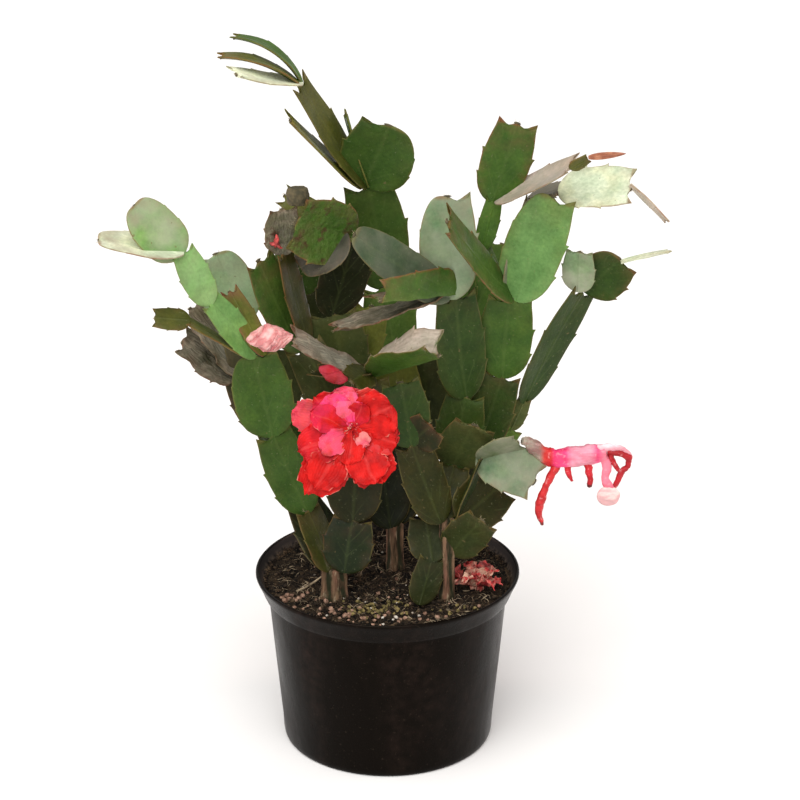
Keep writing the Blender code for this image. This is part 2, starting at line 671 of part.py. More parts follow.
def make_fallen_flower(parts):
    """The dried flower on the soil: curled petals that stand up from a flat middle."""
    floor = soil_height(FALLEN_CENTRE.x, FALLEN_CENTRE.y) + 2 * GAP
    bpy.ops.mesh.primitive_cylinder_add(vertices=10, radius=4.5 * MM, depth=2.4 * MM)
    middle = bpy.context.object
    middle.location = (FALLEN_CENTRE.x, FALLEN_CENTRE.y, floor + 1.2 * MM)
    centre = middle.location + Vector((0, 0, 0.6 * MM))
    fallen = fuse([middle] + petals(centre, Vector((0, 0, 1)), FALLEN_PETALS, 0.6 * MM))
    drop_scraps(fallen)
    keep(fallen, "flower_fallen", parts, "dry")


def build():
    """Makes the whole object."""
    clear_scene()
    parts = bpy.data.collections.new("potted_holiday_cactus")
    cutters = bpy.data.collections.new("cutters")
    bpy.context.scene.collection.children.link(parts)
    bpy.context.scene.collection.children.link(cutters)
    make_pot(parts, cutters)
    spaces = {side: make_trunk(side, parts, cutters) for side in TRUNKS}
    stub, hole = make_shoot_stub(cutters)
    make_soil(parts, list(spaces.values()) + [hole])
    make_stems(parts, spaces, stub)
    make_flowers(parts)
    make_fallen_flower(parts)


build()
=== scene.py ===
"""The looks of a holiday cactus in flower, in a black nursery pot of dark compost."""

import math
import random

import bmesh
import bpy
import numpy as np
from mathutils import Matrix, Vector, noise


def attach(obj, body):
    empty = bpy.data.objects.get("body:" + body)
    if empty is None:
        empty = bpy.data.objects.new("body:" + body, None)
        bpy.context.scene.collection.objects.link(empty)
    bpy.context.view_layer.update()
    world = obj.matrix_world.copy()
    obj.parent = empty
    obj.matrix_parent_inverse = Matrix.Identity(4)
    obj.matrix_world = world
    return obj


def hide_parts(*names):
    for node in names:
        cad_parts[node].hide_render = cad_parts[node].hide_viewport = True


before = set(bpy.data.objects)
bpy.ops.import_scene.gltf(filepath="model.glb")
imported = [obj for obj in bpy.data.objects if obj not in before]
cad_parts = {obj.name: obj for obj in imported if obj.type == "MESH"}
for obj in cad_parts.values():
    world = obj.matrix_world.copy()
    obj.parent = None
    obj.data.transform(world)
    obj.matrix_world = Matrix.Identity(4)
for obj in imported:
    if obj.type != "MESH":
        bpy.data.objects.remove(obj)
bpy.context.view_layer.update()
bpy.ops.object.select_all(action="DESELECT")
MM = 0.001

# The view. The plant is seen from a little above its pot, straight on to the open flower, from
# far enough away that near and far segments keep about the same scale.
CAMERA_AIM = Vector((6.6, 0, 190.5)) * MM
CAMERA_DISTANCE = 1.3
CAMERA_RISE = math.radians(21.3)
CAMERA_LENS = 113.1

backwards = Vector((0, -math.cos(CAMERA_RISE), math.sin(CAMERA_RISE)))
bpy.ops.object.camera_add(
    location=CAMERA_AIM + backwards * CAMERA_DISTANCE,
    rotation=(math.pi / 2 - CAMERA_RISE, 0, 0),
)
camera = bpy.context.object
camera.name = "photo_view"
camera.data.lens = CAMERA_LENS
bpy.context.scene.camera = camera
bpy.context.scene.view_settings.view_transform = "Standard"


# The pot: a thin black polypropylene nursery pot, blow-moulded in one piece with a sloping
# collar under its rolled rim and four drain holes in its floor. Its gloss is dulled by dust and
# water marks, and dried compost sticks to the inside above the soil.
POT_SIDES = 144
POT_FOOT = 54.0
POT_OUTSIDE = (
    (54.9, 0.25), (55.5, 0.8), (55.95, 1.8), (56.3, 4.0), (56.7, 11), (58.4, 29), (60.2, 48),
    (61.9, 67), (63.1, 80), (63.35, 82.4), (63.5, 82.9), (64.7, 83.0), (65.35, 83.2),
    (65.6, 83.7), (66.3, 85.3), (67.5, 88.4), (68.8, 91.2), (69.6, 92.9), (69.95, 93.8),
    (69.9, 94.5), (69.55, 94.9), (69.1, 95.0),
)
POT_INSIDE = (
    (68.6, 94.8), (68.3, 94.2), (67.9, 93.0), (66.6, 90.2), (65.1, 87.0), (63.6, 84.2),
    (62.3, 82.6), (61.8, 81.8), (61.5, 79), (58.2, 44), (55.0, 10), (54.6, 4.5), (54.0, 1.9),
)
DRAIN_RADIUS = 4.0
DRAIN_CIRCLE = 36.0
DRAIN_COUNT = 4
DRAIN_TURN = 0.37
CRUST_LOW, CRUST_HIGH, CRUST_END = 88.6, 92.0, 94.3


def give(socket, value):
    """Gives a node's input a plain value, or links another node's output to it."""
    if isinstance(value, bpy.types.NodeSocket):
        tree.links.new(value, socket)
    else:
        socket.default_value = value


def feed(value, place="Base Color"):
    """Gives the shader of the newest material a value or another node's output."""
    give(tree.nodes["Principled BSDF"].inputs[place], value)


def new_finish(name, colour, roughness=0.5, specular=0.5):
    """Starts a material, the newest one. The functions below add their nodes to it."""
    global tree
    material = bpy.data.materials.new(name)
    material.use_nodes = True
    material.diffuse_color = (*colour, 1)
    tree = material.node_tree
    feed((*colour, 1))
    feed(roughness, "Roughness")
    feed(specular, "Specular IOR Level")
    return material


def put(kind, inputs, output=0, **settings):
    """Adds a node with its inputs and settings and returns one of its outputs."""
    node = tree.nodes.new("ShaderNode" + kind)
    for name, value in settings.items():
        setattr(node, name, value)
    for place, value in inputs.items():
        give(node.inputs[place], value)
    return node.outputs[output]


def attribute(name, output="Fac"):
    """A value or colour stored on a piece's points."""
    return put("Attribute", {}, output, attribute_name=name)


def channels(name):
    """The three channels of a colour stored on a piece's points."""
    return put("SeparateColor", {0: attribute(name, "Color")}).node.outputs


def ramp(value, low=0.0, high=1.0, bottom=0.0, top=1.0):
    """A value stretched so that low becomes bottom and high becomes top, and held there."""
    ends = {"From Min": low, "From Max": high, "To Min": bottom, "To Max": top}
    return put("MapRange", {"Value": value, **ends})


def patches(size, low, high, detail=4.0, stretch=(1, 1, 1)):
    """Random soft patches of a size in mm: 0 where the noise is under low, 1 over high."""
    place = put("Mapping", {"Vector": put("TexCoord", {}, "Object"), "Scale": stretch})
    cloud = put("TexNoise", {"Vector": place, "Scale": 1000 / size, "Detail": detail})
    return ramp(cloud, low, high)


def times(first, second, way="MULTIPLY"):
    """Two numbers multiplied, or joined in another way."""
    return put("Math", {0: first, 1: second}, operation=way)


def blend(share, first, second, way="MIX"):
    """Two colours mixed by a share. Each is three numbers or another node's output."""
    colours = [c if isinstance(c, bpy.types.NodeSocket) else (*c, 1) for c in (first, second)]
    inputs = {0: share, 6: colours[0], 7: colours[1]}
    return put("Mix", inputs, 2, data_type="RGBA", blend_type=way)


def coat(tone, *layers):
    """A tone with layers over it, one by one: each a share, a strength and a colour."""
    for share, strength, colour in layers:
        tone = blend(times(share, strength), tone, colour)
    return tone


def rough_up(height, depth, strength=1.0):
    """Gives a surface relief: a height from 0 to 1 that stands for a depth in mm."""
    bump = {"Height": height, "Distance": depth * MM, "Strength": strength}
    feed(put("Bump", bump), "Normal")


def two_tone(name, colour, roughness, specular, spots, dark, light, grain=None, depth=0.0):
    """A finish that goes from dark to light in patches, with a grain of some depth in mm."""
    finish = new_finish(name, colour, roughness, specular)
    feed(blend(patches(*spots), dark, light))
    if grain:
        rough_up(patches(*grain), depth)
    return finish


def glow(weight, radius, depth):
    """Lets light a little way into a soft, wet skin."""
    feed(weight, "Subsurface Weight")
    feed(radius, "Subsurface Radius")
    feed(depth, "Subsurface Scale")


def start_edit(where=lambda vertex: False):
    """Opens the active mesh in edit mode with only some of its vertices selected."""
    bpy.ops.object.mode_set(mode="EDIT")
    bpy.ops.mesh.select_mode(type="VERT")
    bpy.ops.mesh.select_all(action="DESELECT")
    shape = bmesh.from_edit_mesh(bpy.context.object.data)
    for vertex in shape.verts:
        vertex.select = bool(where(vertex))
    shape.select_flush_mode()
    bmesh.update_edit_mesh(bpy.context.object.data)
    return shape


def end_edit():
    """Turns all faces outwards and closes edit mode."""
    bpy.ops.mesh.select_all(action="SELECT")
    bpy.ops.mesh.normals_make_consistent(inside=False)
    bpy.ops.object.mode_set(mode="OBJECT")


def draw_out(rows, last):
    """Extrudes the selected ring through rows of (radius, height) in mm."""
    for radius, height in rows:
        bpy.ops.mesh.extrude_region_move(
            TRANSFORM_OT_translate={"value": (0, 0, (height - last[1]) * MM)})
        bpy.ops.transform.resize(value=(radius / last[0], radius / last[0], 1))
        last = (radius, height)


def pick(*pieces):
    """Selects only these pieces and makes the first one active."""
    bpy.ops.object.select_all(action="DESELECT")
    for piece in pieces:
        piece.select_set(True)
    bpy.context.view_layer.objects.active = pieces[0]


def apply_all(piece):
    """Applies the modifiers of a piece, in order."""
    pick(piece)
    for modifier in list(piece.modifiers):
        bpy.ops.object.modifier_apply(modifier=modifier.name)


def discard(*used):
    """Removes shapes that were only copied or cut with."""
    for piece in used:
        bpy.data.objects.remove(piece, do_unlink=True)


def finish_piece(piece, name, material, replaced=(), flat=None):
    """Names a piece, gives it its material and slot, and lets it ride with the pot."""
    piece.name = name
    piece.data.name = name
    piece.data.materials.clear()
    piece.data.materials.append(material)
    piece.data.shade_smooth()
    if flat is not None:
        piece.data.set_sharp_from_angle(angle=math.radians(flat))
    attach(piece, "root")
    if replaced:
        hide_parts(*replaced)
    piece.select_set(False)


bpy.ops.mesh.primitive_circle_add(vertices=POT_SIDES, radius=POT_FOOT * MM, fill_type="NGON")
pot = bpy.context.object
start_edit(lambda vertex: True)
bpy.ops.mesh.flip_normals()
bpy.ops.mesh.select_all(action="SELECT")
bpy.ops.mesh.region_to_loop()
draw_out(POT_OUTSIDE, (POT_FOOT, 0))
draw_out(POT_INSIDE, POT_OUTSIDE[-1])
bpy.ops.mesh.edge_face_add()
end_edit()
for number in range(DRAIN_COUNT):
    angle = 2 * math.pi * (number + DRAIN_TURN) / DRAIN_COUNT
    bpy.ops.mesh.primitive_cylinder_add(
        vertices=32, radius=DRAIN_RADIUS * MM, depth=12 * MM,
        location=(DRAIN_CIRCLE * MM * math.cos(angle), DRAIN_CIRCLE * MM * math.sin(angle), 0))
    drain = bpy.context.object
    hole = pot.modifiers.new("drain", "BOOLEAN")
    hole.object = drain
    hole.operation = "DIFFERENCE"
    apply_all(pot)
    discard(drain)

plastic = new_finish("black_plastic", (0.008, 0.006, 0.005), 0.36, 0.065)
smears = patches(26, 0.46, 0.72, 5, (1, 1, 0.35))
dust = times(smears, patches(5, 0.35, 0.75))
tone = blend(dust, (0.0018, 0.0013, 0.0009), (0.0150, 0.0088, 0.0068))
feed(coat(tone, (patches(1.6, 0.66, 0.74, 2), 0.30, (0.040, 0.028, 0.020))))
feed((1.0, 0.80, 0.66, 1), "Specular Tint")
feed(ramp(smears, 0, 1, 0.24, 0.50), "Roughness")
waves = times(patches(14, 0.2, 0.8, 2, (1, 1, 0.5)), 6)
rough_up(times(waves, patches(0.9, 0.3, 0.7, 6), "ADD"), 0.06, 0.6)

crusted = new_finish("crusted_plastic", (0.02, 0.016, 0.014), 0.6, 0.2)
height = put("SeparateXYZ", {0: put("TexCoord", {}, "Object")}, 2)
crust = times(ramp(height, CRUST_HIGH * MM, CRUST_LOW * MM), patches(3, 0.36, 0.60, 6))
feed(blend(crust, (0.008, 0.006, 0.005), (0.085, 0.064, 0.045)))
rough_up(crust, 0.5, 0.8)

finish_piece(pot, "nursery_pot", plastic, ("pot",), flat=35)
pot.data.materials.append(crusted)
for face in pot.data.polygons:
    looks_in = face.center.xy.dot(face.normal.xy) < 0
    if looks_in and face.center.z < CRUST_END * MM and len(face.vertices) < 9:
        face.material_index = 1


# The compost: dark damp peat that fills the pot to a finger's width under the rim, a little
# higher at the wall, with clods, cracks and the finest grit worked into its surface.
SOIL_MIDDLE = 86.0
SOIL_EDGE = 88.5
SOIL_RADIUS = 63.7
SOIL_CELLS = 190
SOIL_WALL = ((61.9, 82.6), (54.2, 5.2), (53.5, 2.2))
FALLEN_PLACE = Vector((47.5, -13, 0))


def soil_height(x, y):
    """The level of the compost at a place, all in mm, without its finest grain."""
    radius = math.hypot(x, y)
    share = radius / 64
    level = SOIL_MIDDLE + (SOIL_EDGE - SOIL_MIDDLE) * share ** 2
    lumps = math.sin(0.31 * x + 2.1) * math.cos(0.275 * y - 0.6)
    lumps += 0.6 * math.sin(0.61 * x - 0.42 * y)
    away = math.hypot(x - FALLEN_PLACE.x, y - FALLEN_PLACE.y) / 15
    calm = min(1.0, max(0.0, away - 0.6)) * min(1.0, max(0.0, (1 - share) * 6))
    return level + 0.9 * lumps * calm


bpy.ops.mesh.primitive_grid_add(
    x_subdivisions=SOIL_CELLS, y_subdivisions=SOIL_CELLS, size=2 * (SOIL_RADIUS + 0.5) * MM)
soil = bpy.context.object
start_edit(lambda vertex: vertex.co.length > (SOIL_RADIUS - 0.3) * MM)
bpy.ops.mesh.delete(type="VERT")
bpy.ops.object.mode_set(mode="OBJECT")
start_edit(lambda vertex: vertex.is_boundary)
bpy.ops.mesh.extrude_region_move()
shape = bmesh.from_edit_mesh(soil.data)
for vertex in shape.verts:
    x, y = vertex.co.x / MM, vertex.co.y / MM
    if vertex.select:
        vertex.co = vertex.co.normalized() * SOIL_RADIUS * MM
        vertex.co.z = (SOIL_EDGE - 0.4) * MM
        continue
    clods = noise.fractal(Vector((x, y, 3)) * 0.22, 0.7, 2.2, 4)
    grain = noise.fractal(Vector((x, y, 9)) * 0.75, 0.8, 2.1, 3)
    vertex.co.z = (soil_height(x, y) + 0.75 * clods + 0.42 * grain - 0.15) * MM
bmesh.update_edit_mesh(soil.data)
draw_out(SOIL_WALL, (SOIL_RADIUS, SOIL_EDGE - 0.4))
bpy.ops.mesh.edge_face_add()
end_edit()

peat = new_finish("damp_peat", (0.02, 0.014, 0.009), 0.9, 0.15)
tone = blend(patches(4, 0.42, 0.62, 6), (0.004, 0.0028, 0.0018), (0.028, 0.018, 0.010))
tone = blend(patches(1.3, 0.58, 0.66, 3), tone, (0.075, 0.049, 0.027))
tone = blend(patches(0.8, 0.66, 0.72, 2), tone, (0.24, 0.18, 0.11))
feed(tone)
rough_up(patches(1.2, 0.25, 0.75, 8), 0.9)
finish_piece(soil, "compost", peat, ("soil",), flat=60)


# The grit on the compost: pinkish clay granules, mostly at the front left, yellowish granules
# with moss on them in front of the middle, white perlite, and crumbs of peat, some of which
# cling to the pot's wall. All lie loose, pressed a little way in.
GRIT_REACH = 61
FALLEN_ROOM = 7
CRUMBS_ABOUT, CRUMBS_REACH = 900, 62.5
CRUMBS_ON_WALL = 420
# The wall's radius at the compost's edge, how fast it widens and the crumbs' start under the edge
WALL_RADIUS, WALL_SLOPE, WALL_START = 64.0, 0.52, 0.8
# Each grit has a dark and a light tone and heaps of a count, a middle, a spread and sizes in mm
GRIT = (
    ("clay_granules", (0.16, 0.082, 0.052), (0.47, 0.29, 0.205), (
        (16, (-46, -24), (7, 4), (0.8, 1.6)), (12, (-34, -37), (8, 4), (0.7, 1.5)),
        (26, (-2, -44), (13, 5), (0.7, 1.5)), (34, (0, -14), (34, 22), (0.5, 1.1)))),
    ("mossy_granules", (0.055, 0.046, 0.010), (0.29, 0.22, 0.085), (
        (64, (-6, -32), (9, 5), (0.7, 1.35)), (14, (38, -36), (9, 4), (0.6, 1.2)))),
    ("perlite", (0.42, 0.36, 0.29), (0.72, 0.66, 0.58), (
        (7, (0, -44), (16, 5), (0.7, 1.3)), (22, (0, -10), (36, 24), (0.3, 0.9)))),
)


def gather(name, masters, places):
    """One piece of many copies. Each place is a master's number and a matrix."""
    gathered = bmesh.new()
    for number, matrix in places:
        copy = masters[number].data.copy()
        copy.transform(matrix)
        gathered.from_mesh(copy)
        bpy.data.meshes.remove(copy)
    mesh = bpy.data.meshes.new(name)
    gathered.to_mesh(mesh)
    gathered.free()
    piece = bpy.data.objects.new(name, mesh)
    bpy.context.scene.collection.objects.link(piece)
    return piece


def pebble(seed, cuts=2, lumpy=0.35, flatten=0.75):
    """A rough grain one unit in radius."""
    bpy.ops.mesh.primitive_ico_sphere_add(subdivisions=cuts, radius=1)
    grain = bpy.context.object
    for vertex in grain.data.vertices:
        swell = 1 + lumpy * noise.noise(vertex.co * 1.3 + Vector((seed, 0, seed * 0.7)))
        vertex.co = vertex.co * swell
        vertex.co.z *= flatten
    return grain


def anywhere(draw, most):
    """A random place on a disc of a radius in mm."""
    angle = draw.uniform(0, 2 * math.pi)
    reach = most * math.sqrt(draw.random())
    return reach * math.cos(angle), reach * math.sin(angle)


def lay(draw, x, y, size, sink=0.3):
    """A matrix that lays a unit thing on the compost at a place in mm, turned at random."""
    spin = Matrix.Rotation(draw.uniform(0, 6.28), 4, "Z")
    tip = Matrix.Rotation(draw.gauss(0, 0.35), 4, "X")
    tip = tip @ Matrix.Rotation(draw.gauss(0, 0.35), 4, "Y")
    height = soil_height(x, y) + size * sink
    return Matrix.Translation(Vector((x, y, height)) * MM) @ tip @ spin @ Matrix.Scale(size * MM, 4)


def strew(draw, count, centre, spread, sizes):
    """Places for grains about a centre, kept off the wall and off the fallen flower."""
    places = []
    while len(places) < count:
        x = draw.gauss(centre[0], spread[0])
        y = draw.gauss(centre[1], spread[1])
        from_fallen = math.hypot(x - FALLEN_PLACE.x, y - FALLEN_PLACE.y)
        if math.hypot(x, y) > GRIT_REACH or from_fallen < FALLEN_ROOM:
            continue
        places.append((draw.randrange(4), lay(draw, x, y, draw.uniform(*sizes))))
    return places


draw = random.Random(11)
grains = [pebble(seed) for seed in (1.0, 2.3, 4.1, 6.6)]
for name, dark, light, heaps in GRIT:
    finish = two_tone(
        name, light, 0.85, 0.3, (2.2, 0.38, 0.62, 5), dark, light, (0.7, 0.3, 0.7, 5), 0.3)
    places = [place for heap in heaps for place in strew(draw, *heap)]
    finish_piece(gather(name, grains, places), name, finish)

crumbs = [pebble(seed, 1, 0.5, 0.8) for seed in (1.4, 3.3, 5.2)]
crumb_places = []
for _ in range(CRUMBS_ABOUT):
    x, y = anywhere(draw, CRUMBS_REACH)
    size = draw.choice((0.45, 0.6, 0.8, 1.2))
    crumb_places.append((draw.randrange(3), lay(draw, x, y, size, 0.4)))
for _ in range(CRUMBS_ON_WALL):
    angle = draw.choice((draw.gauss(2.75, 0.32), draw.gauss(0.42, 0.34)))
    up = abs(draw.gauss(0, 1.3))
    reach = WALL_RADIUS + up * WALL_SLOPE
    height = SOIL_EDGE - WALL_START + up
    at = Vector((reach * math.cos(angle), reach * math.sin(angle), height)) * MM
    size = draw.choice((0.35, 0.5, 0.7))
    crumb_places.append((draw.randrange(3), Matrix.Translation(at) @ Matrix.Scale(size * MM, 4)))
crumb = two_tone("peat_crumbs", (0.05, 0.035, 0.022), 0.95, 0.2, (6, 0.45, 0.62, 2),
                 (0.014, 0.009, 0.006), (0.095, 0.062, 0.036))
finish_piece(gather("peat_crumbs", crumbs, crumb_places), "peat_crumbs", crumb, flat=30)


# The fibres in the compost: straw, rootlets and slivers of bark, pale and dry on top of the dark
# peat, each bent its own way, and a few longer twigs, one of which leans on the left trunk.
FIBRE_COUNT, FIBRE_REACH = 900, 60
SPARSE_FRONT, LEFT_OUT_THERE = -28, 0.6
FIBRE_RUNS = (
    ((-3.2, 0, 0, 0.10), (-1.2, 0.9, 0.5, 0.16), (1.0, -0.5, 0.7, 0.15), (3.4, 0.4, 0, 0.08)),
    ((-4.5, 0, 0, 0.08), (-1.5, -1.2, 0.9, 0.13), (1.8, 0.9, 1.2, 0.12), (5, -0.6, 0.3, 0.07)),
    ((-2.0, 0, 0, 0.18), (0, 0.3, 0.4, 0.26), (2.1, -0.2, 0.1, 0.14)),
    ((-1.2, 0, -0.2, 0.12), (-0.4, 0.9, 1.3, 0.14), (1.2, 0.6, 1.8, 0.10), (2.2, -0.8, 0.8, 0.06)),
)
TWIG_RUNS = (
    ((-48, -15, 88.2, 0.5), (-43, -13.5, 90, 0.6), (-37.5, -13, 93.5, 0.55), (-34, -14, 97, 0.3)),
    ((-24, 18, 87.5, 0.5), (-19, 21, 88.6, 0.55), (-12, 23, 88.4, 0.3)),
    ((22, 2, 87.2, 0.35), (28, 6, 88.6, 0.45), (36, 8, 88.4, 0.4), (42, 13, 88.7, 0.2)),
    ((30, -36, 87.8, 0.45), (37, -40, 88.6, 0.5), (44, -39, 88.4, 0.25)),
)


def smooth_run(points, steps):
    """Points of any width, smoothed by a curve that goes through each one."""
    rows = [np.array(p, float) for p in points]
    rows = [2 * rows[0] - rows[1]] + rows + [2 * rows[-1] - rows[-2]]
    run = []
    for a, b, c, d in zip(rows, rows[1:], rows[2:], rows[3:]):
        for step in range(steps):
            t = step / steps
            run.append(0.5 * (2 * b + (c - a) * t + (2 * a - 5 * b + 4 * c - d) * t * t
                              + (3 * b - a - 3 * c + d) * t ** 3))
    return run + [rows[-2]]


def strand(points, steps=4, sides=0):
    """A round tube along points in mm that each end with a radius, as a closed mesh."""
    curve = bpy.data.curves.new("strand", "CURVE")
    curve.dimensions = "3D"
    curve.bevel_depth = MM
    curve.bevel_resolution = sides
    curve.use_fill_caps = True
    run = smooth_run(points, steps)
    spline = curve.splines.new("POLY")
    spline.points.add(len(run) - 1)
    for place, (x, y, z, radius) in zip(spline.points, run):
        place.co = (x * MM, y * MM, z * MM, 1)
        place.radius = max(radius, 0.02)
    piece = bpy.data.objects.new("strand", curve)
    bpy.context.scene.collection.objects.link(piece)
    pick(piece)
    bpy.ops.object.convert(target="MESH")
    start_edit(lambda vertex: True)
    bpy.ops.mesh.remove_doubles(threshold=0.002 * MM)
    end_edit()
    return bpy.context.object


draw = random.Random(23)
fibres = [strand(run, 3) for run in FIBRE_RUNS]
fibre_places = []
for _ in range(FIBRE_COUNT):
    x, y = anywhere(draw, FIBRE_REACH)
    if y < SPARSE_FRONT and draw.random() < LEFT_OUT_THERE:
        continue
    spot = lay(draw, x, y, 1.0, 0.6) @ Matrix.Scale(draw.uniform(0.45, 1.15), 4)
    fibre_places.append((draw.randrange(4), spot @ Matrix.Rotation(draw.gauss(0, 0.3), 4, "Y")))
straw = two_tone("dry_fibres", (0.30, 0.21, 0.12), 0.8, 0.3, (7, 0.46, 0.6, 2),
                 (0.045, 0.028, 0.014), (0.40, 0.31, 0.20))
for fibre in fibres:
    fibre.data.transform(Matrix.Scale(1 / MM, 4))
finish_piece(gather("dry_fibres", fibres, fibre_places), "dry_fibres", straw)
twigs = [strand(run, 4, 1) for run in TWIG_RUNS]
twig_places = [(number, Matrix.Identity(4)) for number in range(len(twigs))]
finish_piece(gather("twigs", twigs, twig_places), "twigs", straw)
discard(*grains, *crumbs, *fibres, *twigs)


# The trunks: the oldest segments, turned to wood. Brown cork has grown over them in ridges that
# run up the stem, split and fibrous, with the old green left in the grooves of the left one.
TRUNKS = {
    "left": dict(x=-28, y=-20, wide=15, deep=9, top=104, ribs=5),
    "middle": dict(x=4, y=18, wide=10, deep=9, top=113, ribs=4),
    "right": dict(x=31, y=-19, wide=9, deep=9, top=133, ribs=4),
}
TRUNK_BOTTOM = 68.0
TRUNK_RINGS = 60
TRUNK_SIDES = 72

cork = new_finish("cork", (0.2, 0.13, 0.07), 0.85, 0.3)
streaks = patches(1.5, 0.34, 0.66, 6, (1, 1, 0.12))
tone = blend(streaks, (0.040, 0.020, 0.010), (0.27, 0.165, 0.092))
tone = blend(patches(5, 0.5, 0.66, 3, (1, 1, 0.3)), tone, (0.22, 0.105, 0.066))
tone = blend(patches(2.2, 0.60, 0.70, 3, (1, 1, 0.25)), tone, (0.40, 0.30, 0.19))
feed(blend(attribute("ridge"), (0.020, 0.022, 0.007), tone))
rough_up(patches(0.8, 0.25, 0.75, 7, (1, 1, 0.1)), 0.6)


def store(piece, name, values, kind="FLOAT", field="value"):
    """Stores a value of its own on each of a piece's points."""
    piece.data.attributes.new(name, kind, "POINT").data.foreach_set(field, values)


for side, size in TRUNKS.items():
    length = size["top"] - TRUNK_BOTTOM
    bpy.ops.mesh.primitive_cylinder_add(
        vertices=TRUNK_SIDES, radius=1, depth=length, end_fill_type="TRIFAN")
    trunk = bpy.context.object
    start_edit()
    shape = bmesh.from_edit_mesh(trunk.data)
    for edge in shape.edges:
        edge.select = abs(edge.verts[0].co.z - edge.verts[1].co.z) > 1
    bpy.ops.mesh.subdivide(number_cuts=TRUNK_RINGS)
    bpy.ops.object.mode_set(mode="OBJECT")
    ridges = []
    for vertex in trunk.data.vertices:
        angle = math.atan2(vertex.co.y, vertex.co.x)
        z = vertex.co.z + (size["top"] + TRUNK_BOTTOM) / 2
        above = min(1.0, max(0.0, (z - SOIL_EDGE) / 4))
        groove = 0.5 - 0.5 * math.cos(size["ribs"] * angle + 0.03 * (z - TRUNK_BOTTOM))
        bark = noise.fractal(
            Vector((math.cos(angle) * 3, math.sin(angle) * 3, z * 0.09 + size["x"])), 0.8, 2.3, 5)
        split = abs(noise.noise(Vector((math.cos(angle) * 6, math.sin(angle) * 6, z * 0.06))))
        girth = 1 - above * (0.22 * groove + 0.05) + 0.05 * bark - 0.10 * max(0, 0.25 - split)
        end = min(1.0, (size["top"] - z) / 2.5 + 0.75)
        reach = min(1.0, vertex.co.xy.length)
        ridges.append(min(1.0, max(0.0, 1.25 - 1.5 * groove + bark)))
        vertex.co.x = (size["x"] + math.cos(angle) * size["wide"] / 2 * girth * end * reach) * MM
        vertex.co.y = (size["y"] + math.sin(angle) * size["deep"] / 2 * girth * end * reach) * MM
        vertex.co.z = z * MM
    store(trunk, "ridge", ridges)
    finish_piece(trunk, f"woody_trunk_{side}", cork, (f"trunk_{side}",))


# The segments: flat fleshy leafless stems, thickest along their rib, with a few pointed teeth on
# each margin and two horns at the cut-off tip, where the next ones grow. A horned shape, a
# rounder one and one that is half of each are modelled once and then bent, folded and turned.
# Rows are the place along the rib, the place along the margin and the share of the half width.
SEGMENT_RIB = 2.4
SEGMENT_SINK = 2.6
HORNED = (
    (0.000, 0.000, 0.20), (0.018, 0.015, 0.31), (0.050, 0.045, 0.48), (0.095, 0.090, 0.64),
    (0.150, 0.145, 0.78), (0.205, 0.205, 0.88), (0.255, 0.260, 0.940), (0.285, 0.300, 0.985),
    (0.305, 0.338, 1.050), (0.322, 0.340, 0.965), (0.385, 0.395, 0.985), (0.455, 0.465, 1.005),
    (0.520, 0.535, 1.015), (0.560, 0.590, 1.045), (0.580, 0.628, 1.095), (0.598, 0.625, 0.985),
    (0.660, 0.675, 0.965), (0.730, 0.755, 0.935), (0.800, 0.835, 0.885), (0.850, 0.905, 0.835),
    (0.885, 0.965, 0.810), (0.905, 1.022, 0.800), (0.918, 0.968, 0.720), (0.932, 0.940, 0.570),
    (0.944, 0.932, 0.380), (0.956, 0.945, 0.220), (0.970, 0.965, 0.100),
)
ROUND = (
    (0.000, 0.000, 0.20), (0.018, 0.015, 0.31), (0.050, 0.045, 0.49), (0.095, 0.090, 0.66),
    (0.150, 0.145, 0.81), (0.215, 0.210, 0.915), (0.285, 0.280, 0.980), (0.350, 0.355, 1.015),
    (0.395, 0.412, 1.045), (0.415, 0.422, 1.010), (0.450, 0.458, 1.015), (0.490, 0.502, 1.020),
    (0.545, 0.560, 1.010), (0.600, 0.622, 0.990), (0.648, 0.678, 0.985), (0.668, 0.690, 0.945),
    (0.696, 0.718, 0.925), (0.720, 0.745, 0.905),
    (0.770, 0.805, 0.840), (0.815, 0.860, 0.760), (0.855, 0.908, 0.670), (0.888, 0.945, 0.570),
    (0.915, 0.968, 0.470), (0.935, 0.980, 0.370), (0.950, 0.984, 0.270), (0.962, 0.984, 0.180),
    (0.972, 0.980, 0.090),
)
COLUMNS = (0.0, 0.05, 0.16, 0.42, 0.70, 0.90, 0.975, 1.0)
THICKNESS = (1.0, 0.82, 0.74, 0.66, 0.54, 0.42, 0.30, 0.14)

# A segment's colour class, its own colour with painted light and shade in it: deep, leaf, bright,
# bloomy and olive green, pale and pale pinkish grey as painted highlights on tops that face the
# light, nearly black as painted shade, and dried grey
GREENS_WITH_PAINTED_LIGHT = {
    "D": (0.040, 0.078, 0.014), "M": (0.052, 0.116, 0.016), "B": (0.120, 0.245, 0.075),
    "C": (0.110, 0.200, 0.098), "O": (0.075, 0.085, 0.014), "P": (0.48, 0.54, 0.42),
    "L": (0.47, 0.40, 0.35), "K": (0.020, 0.026, 0.008), "G": (0.130, 0.120, 0.075),
}
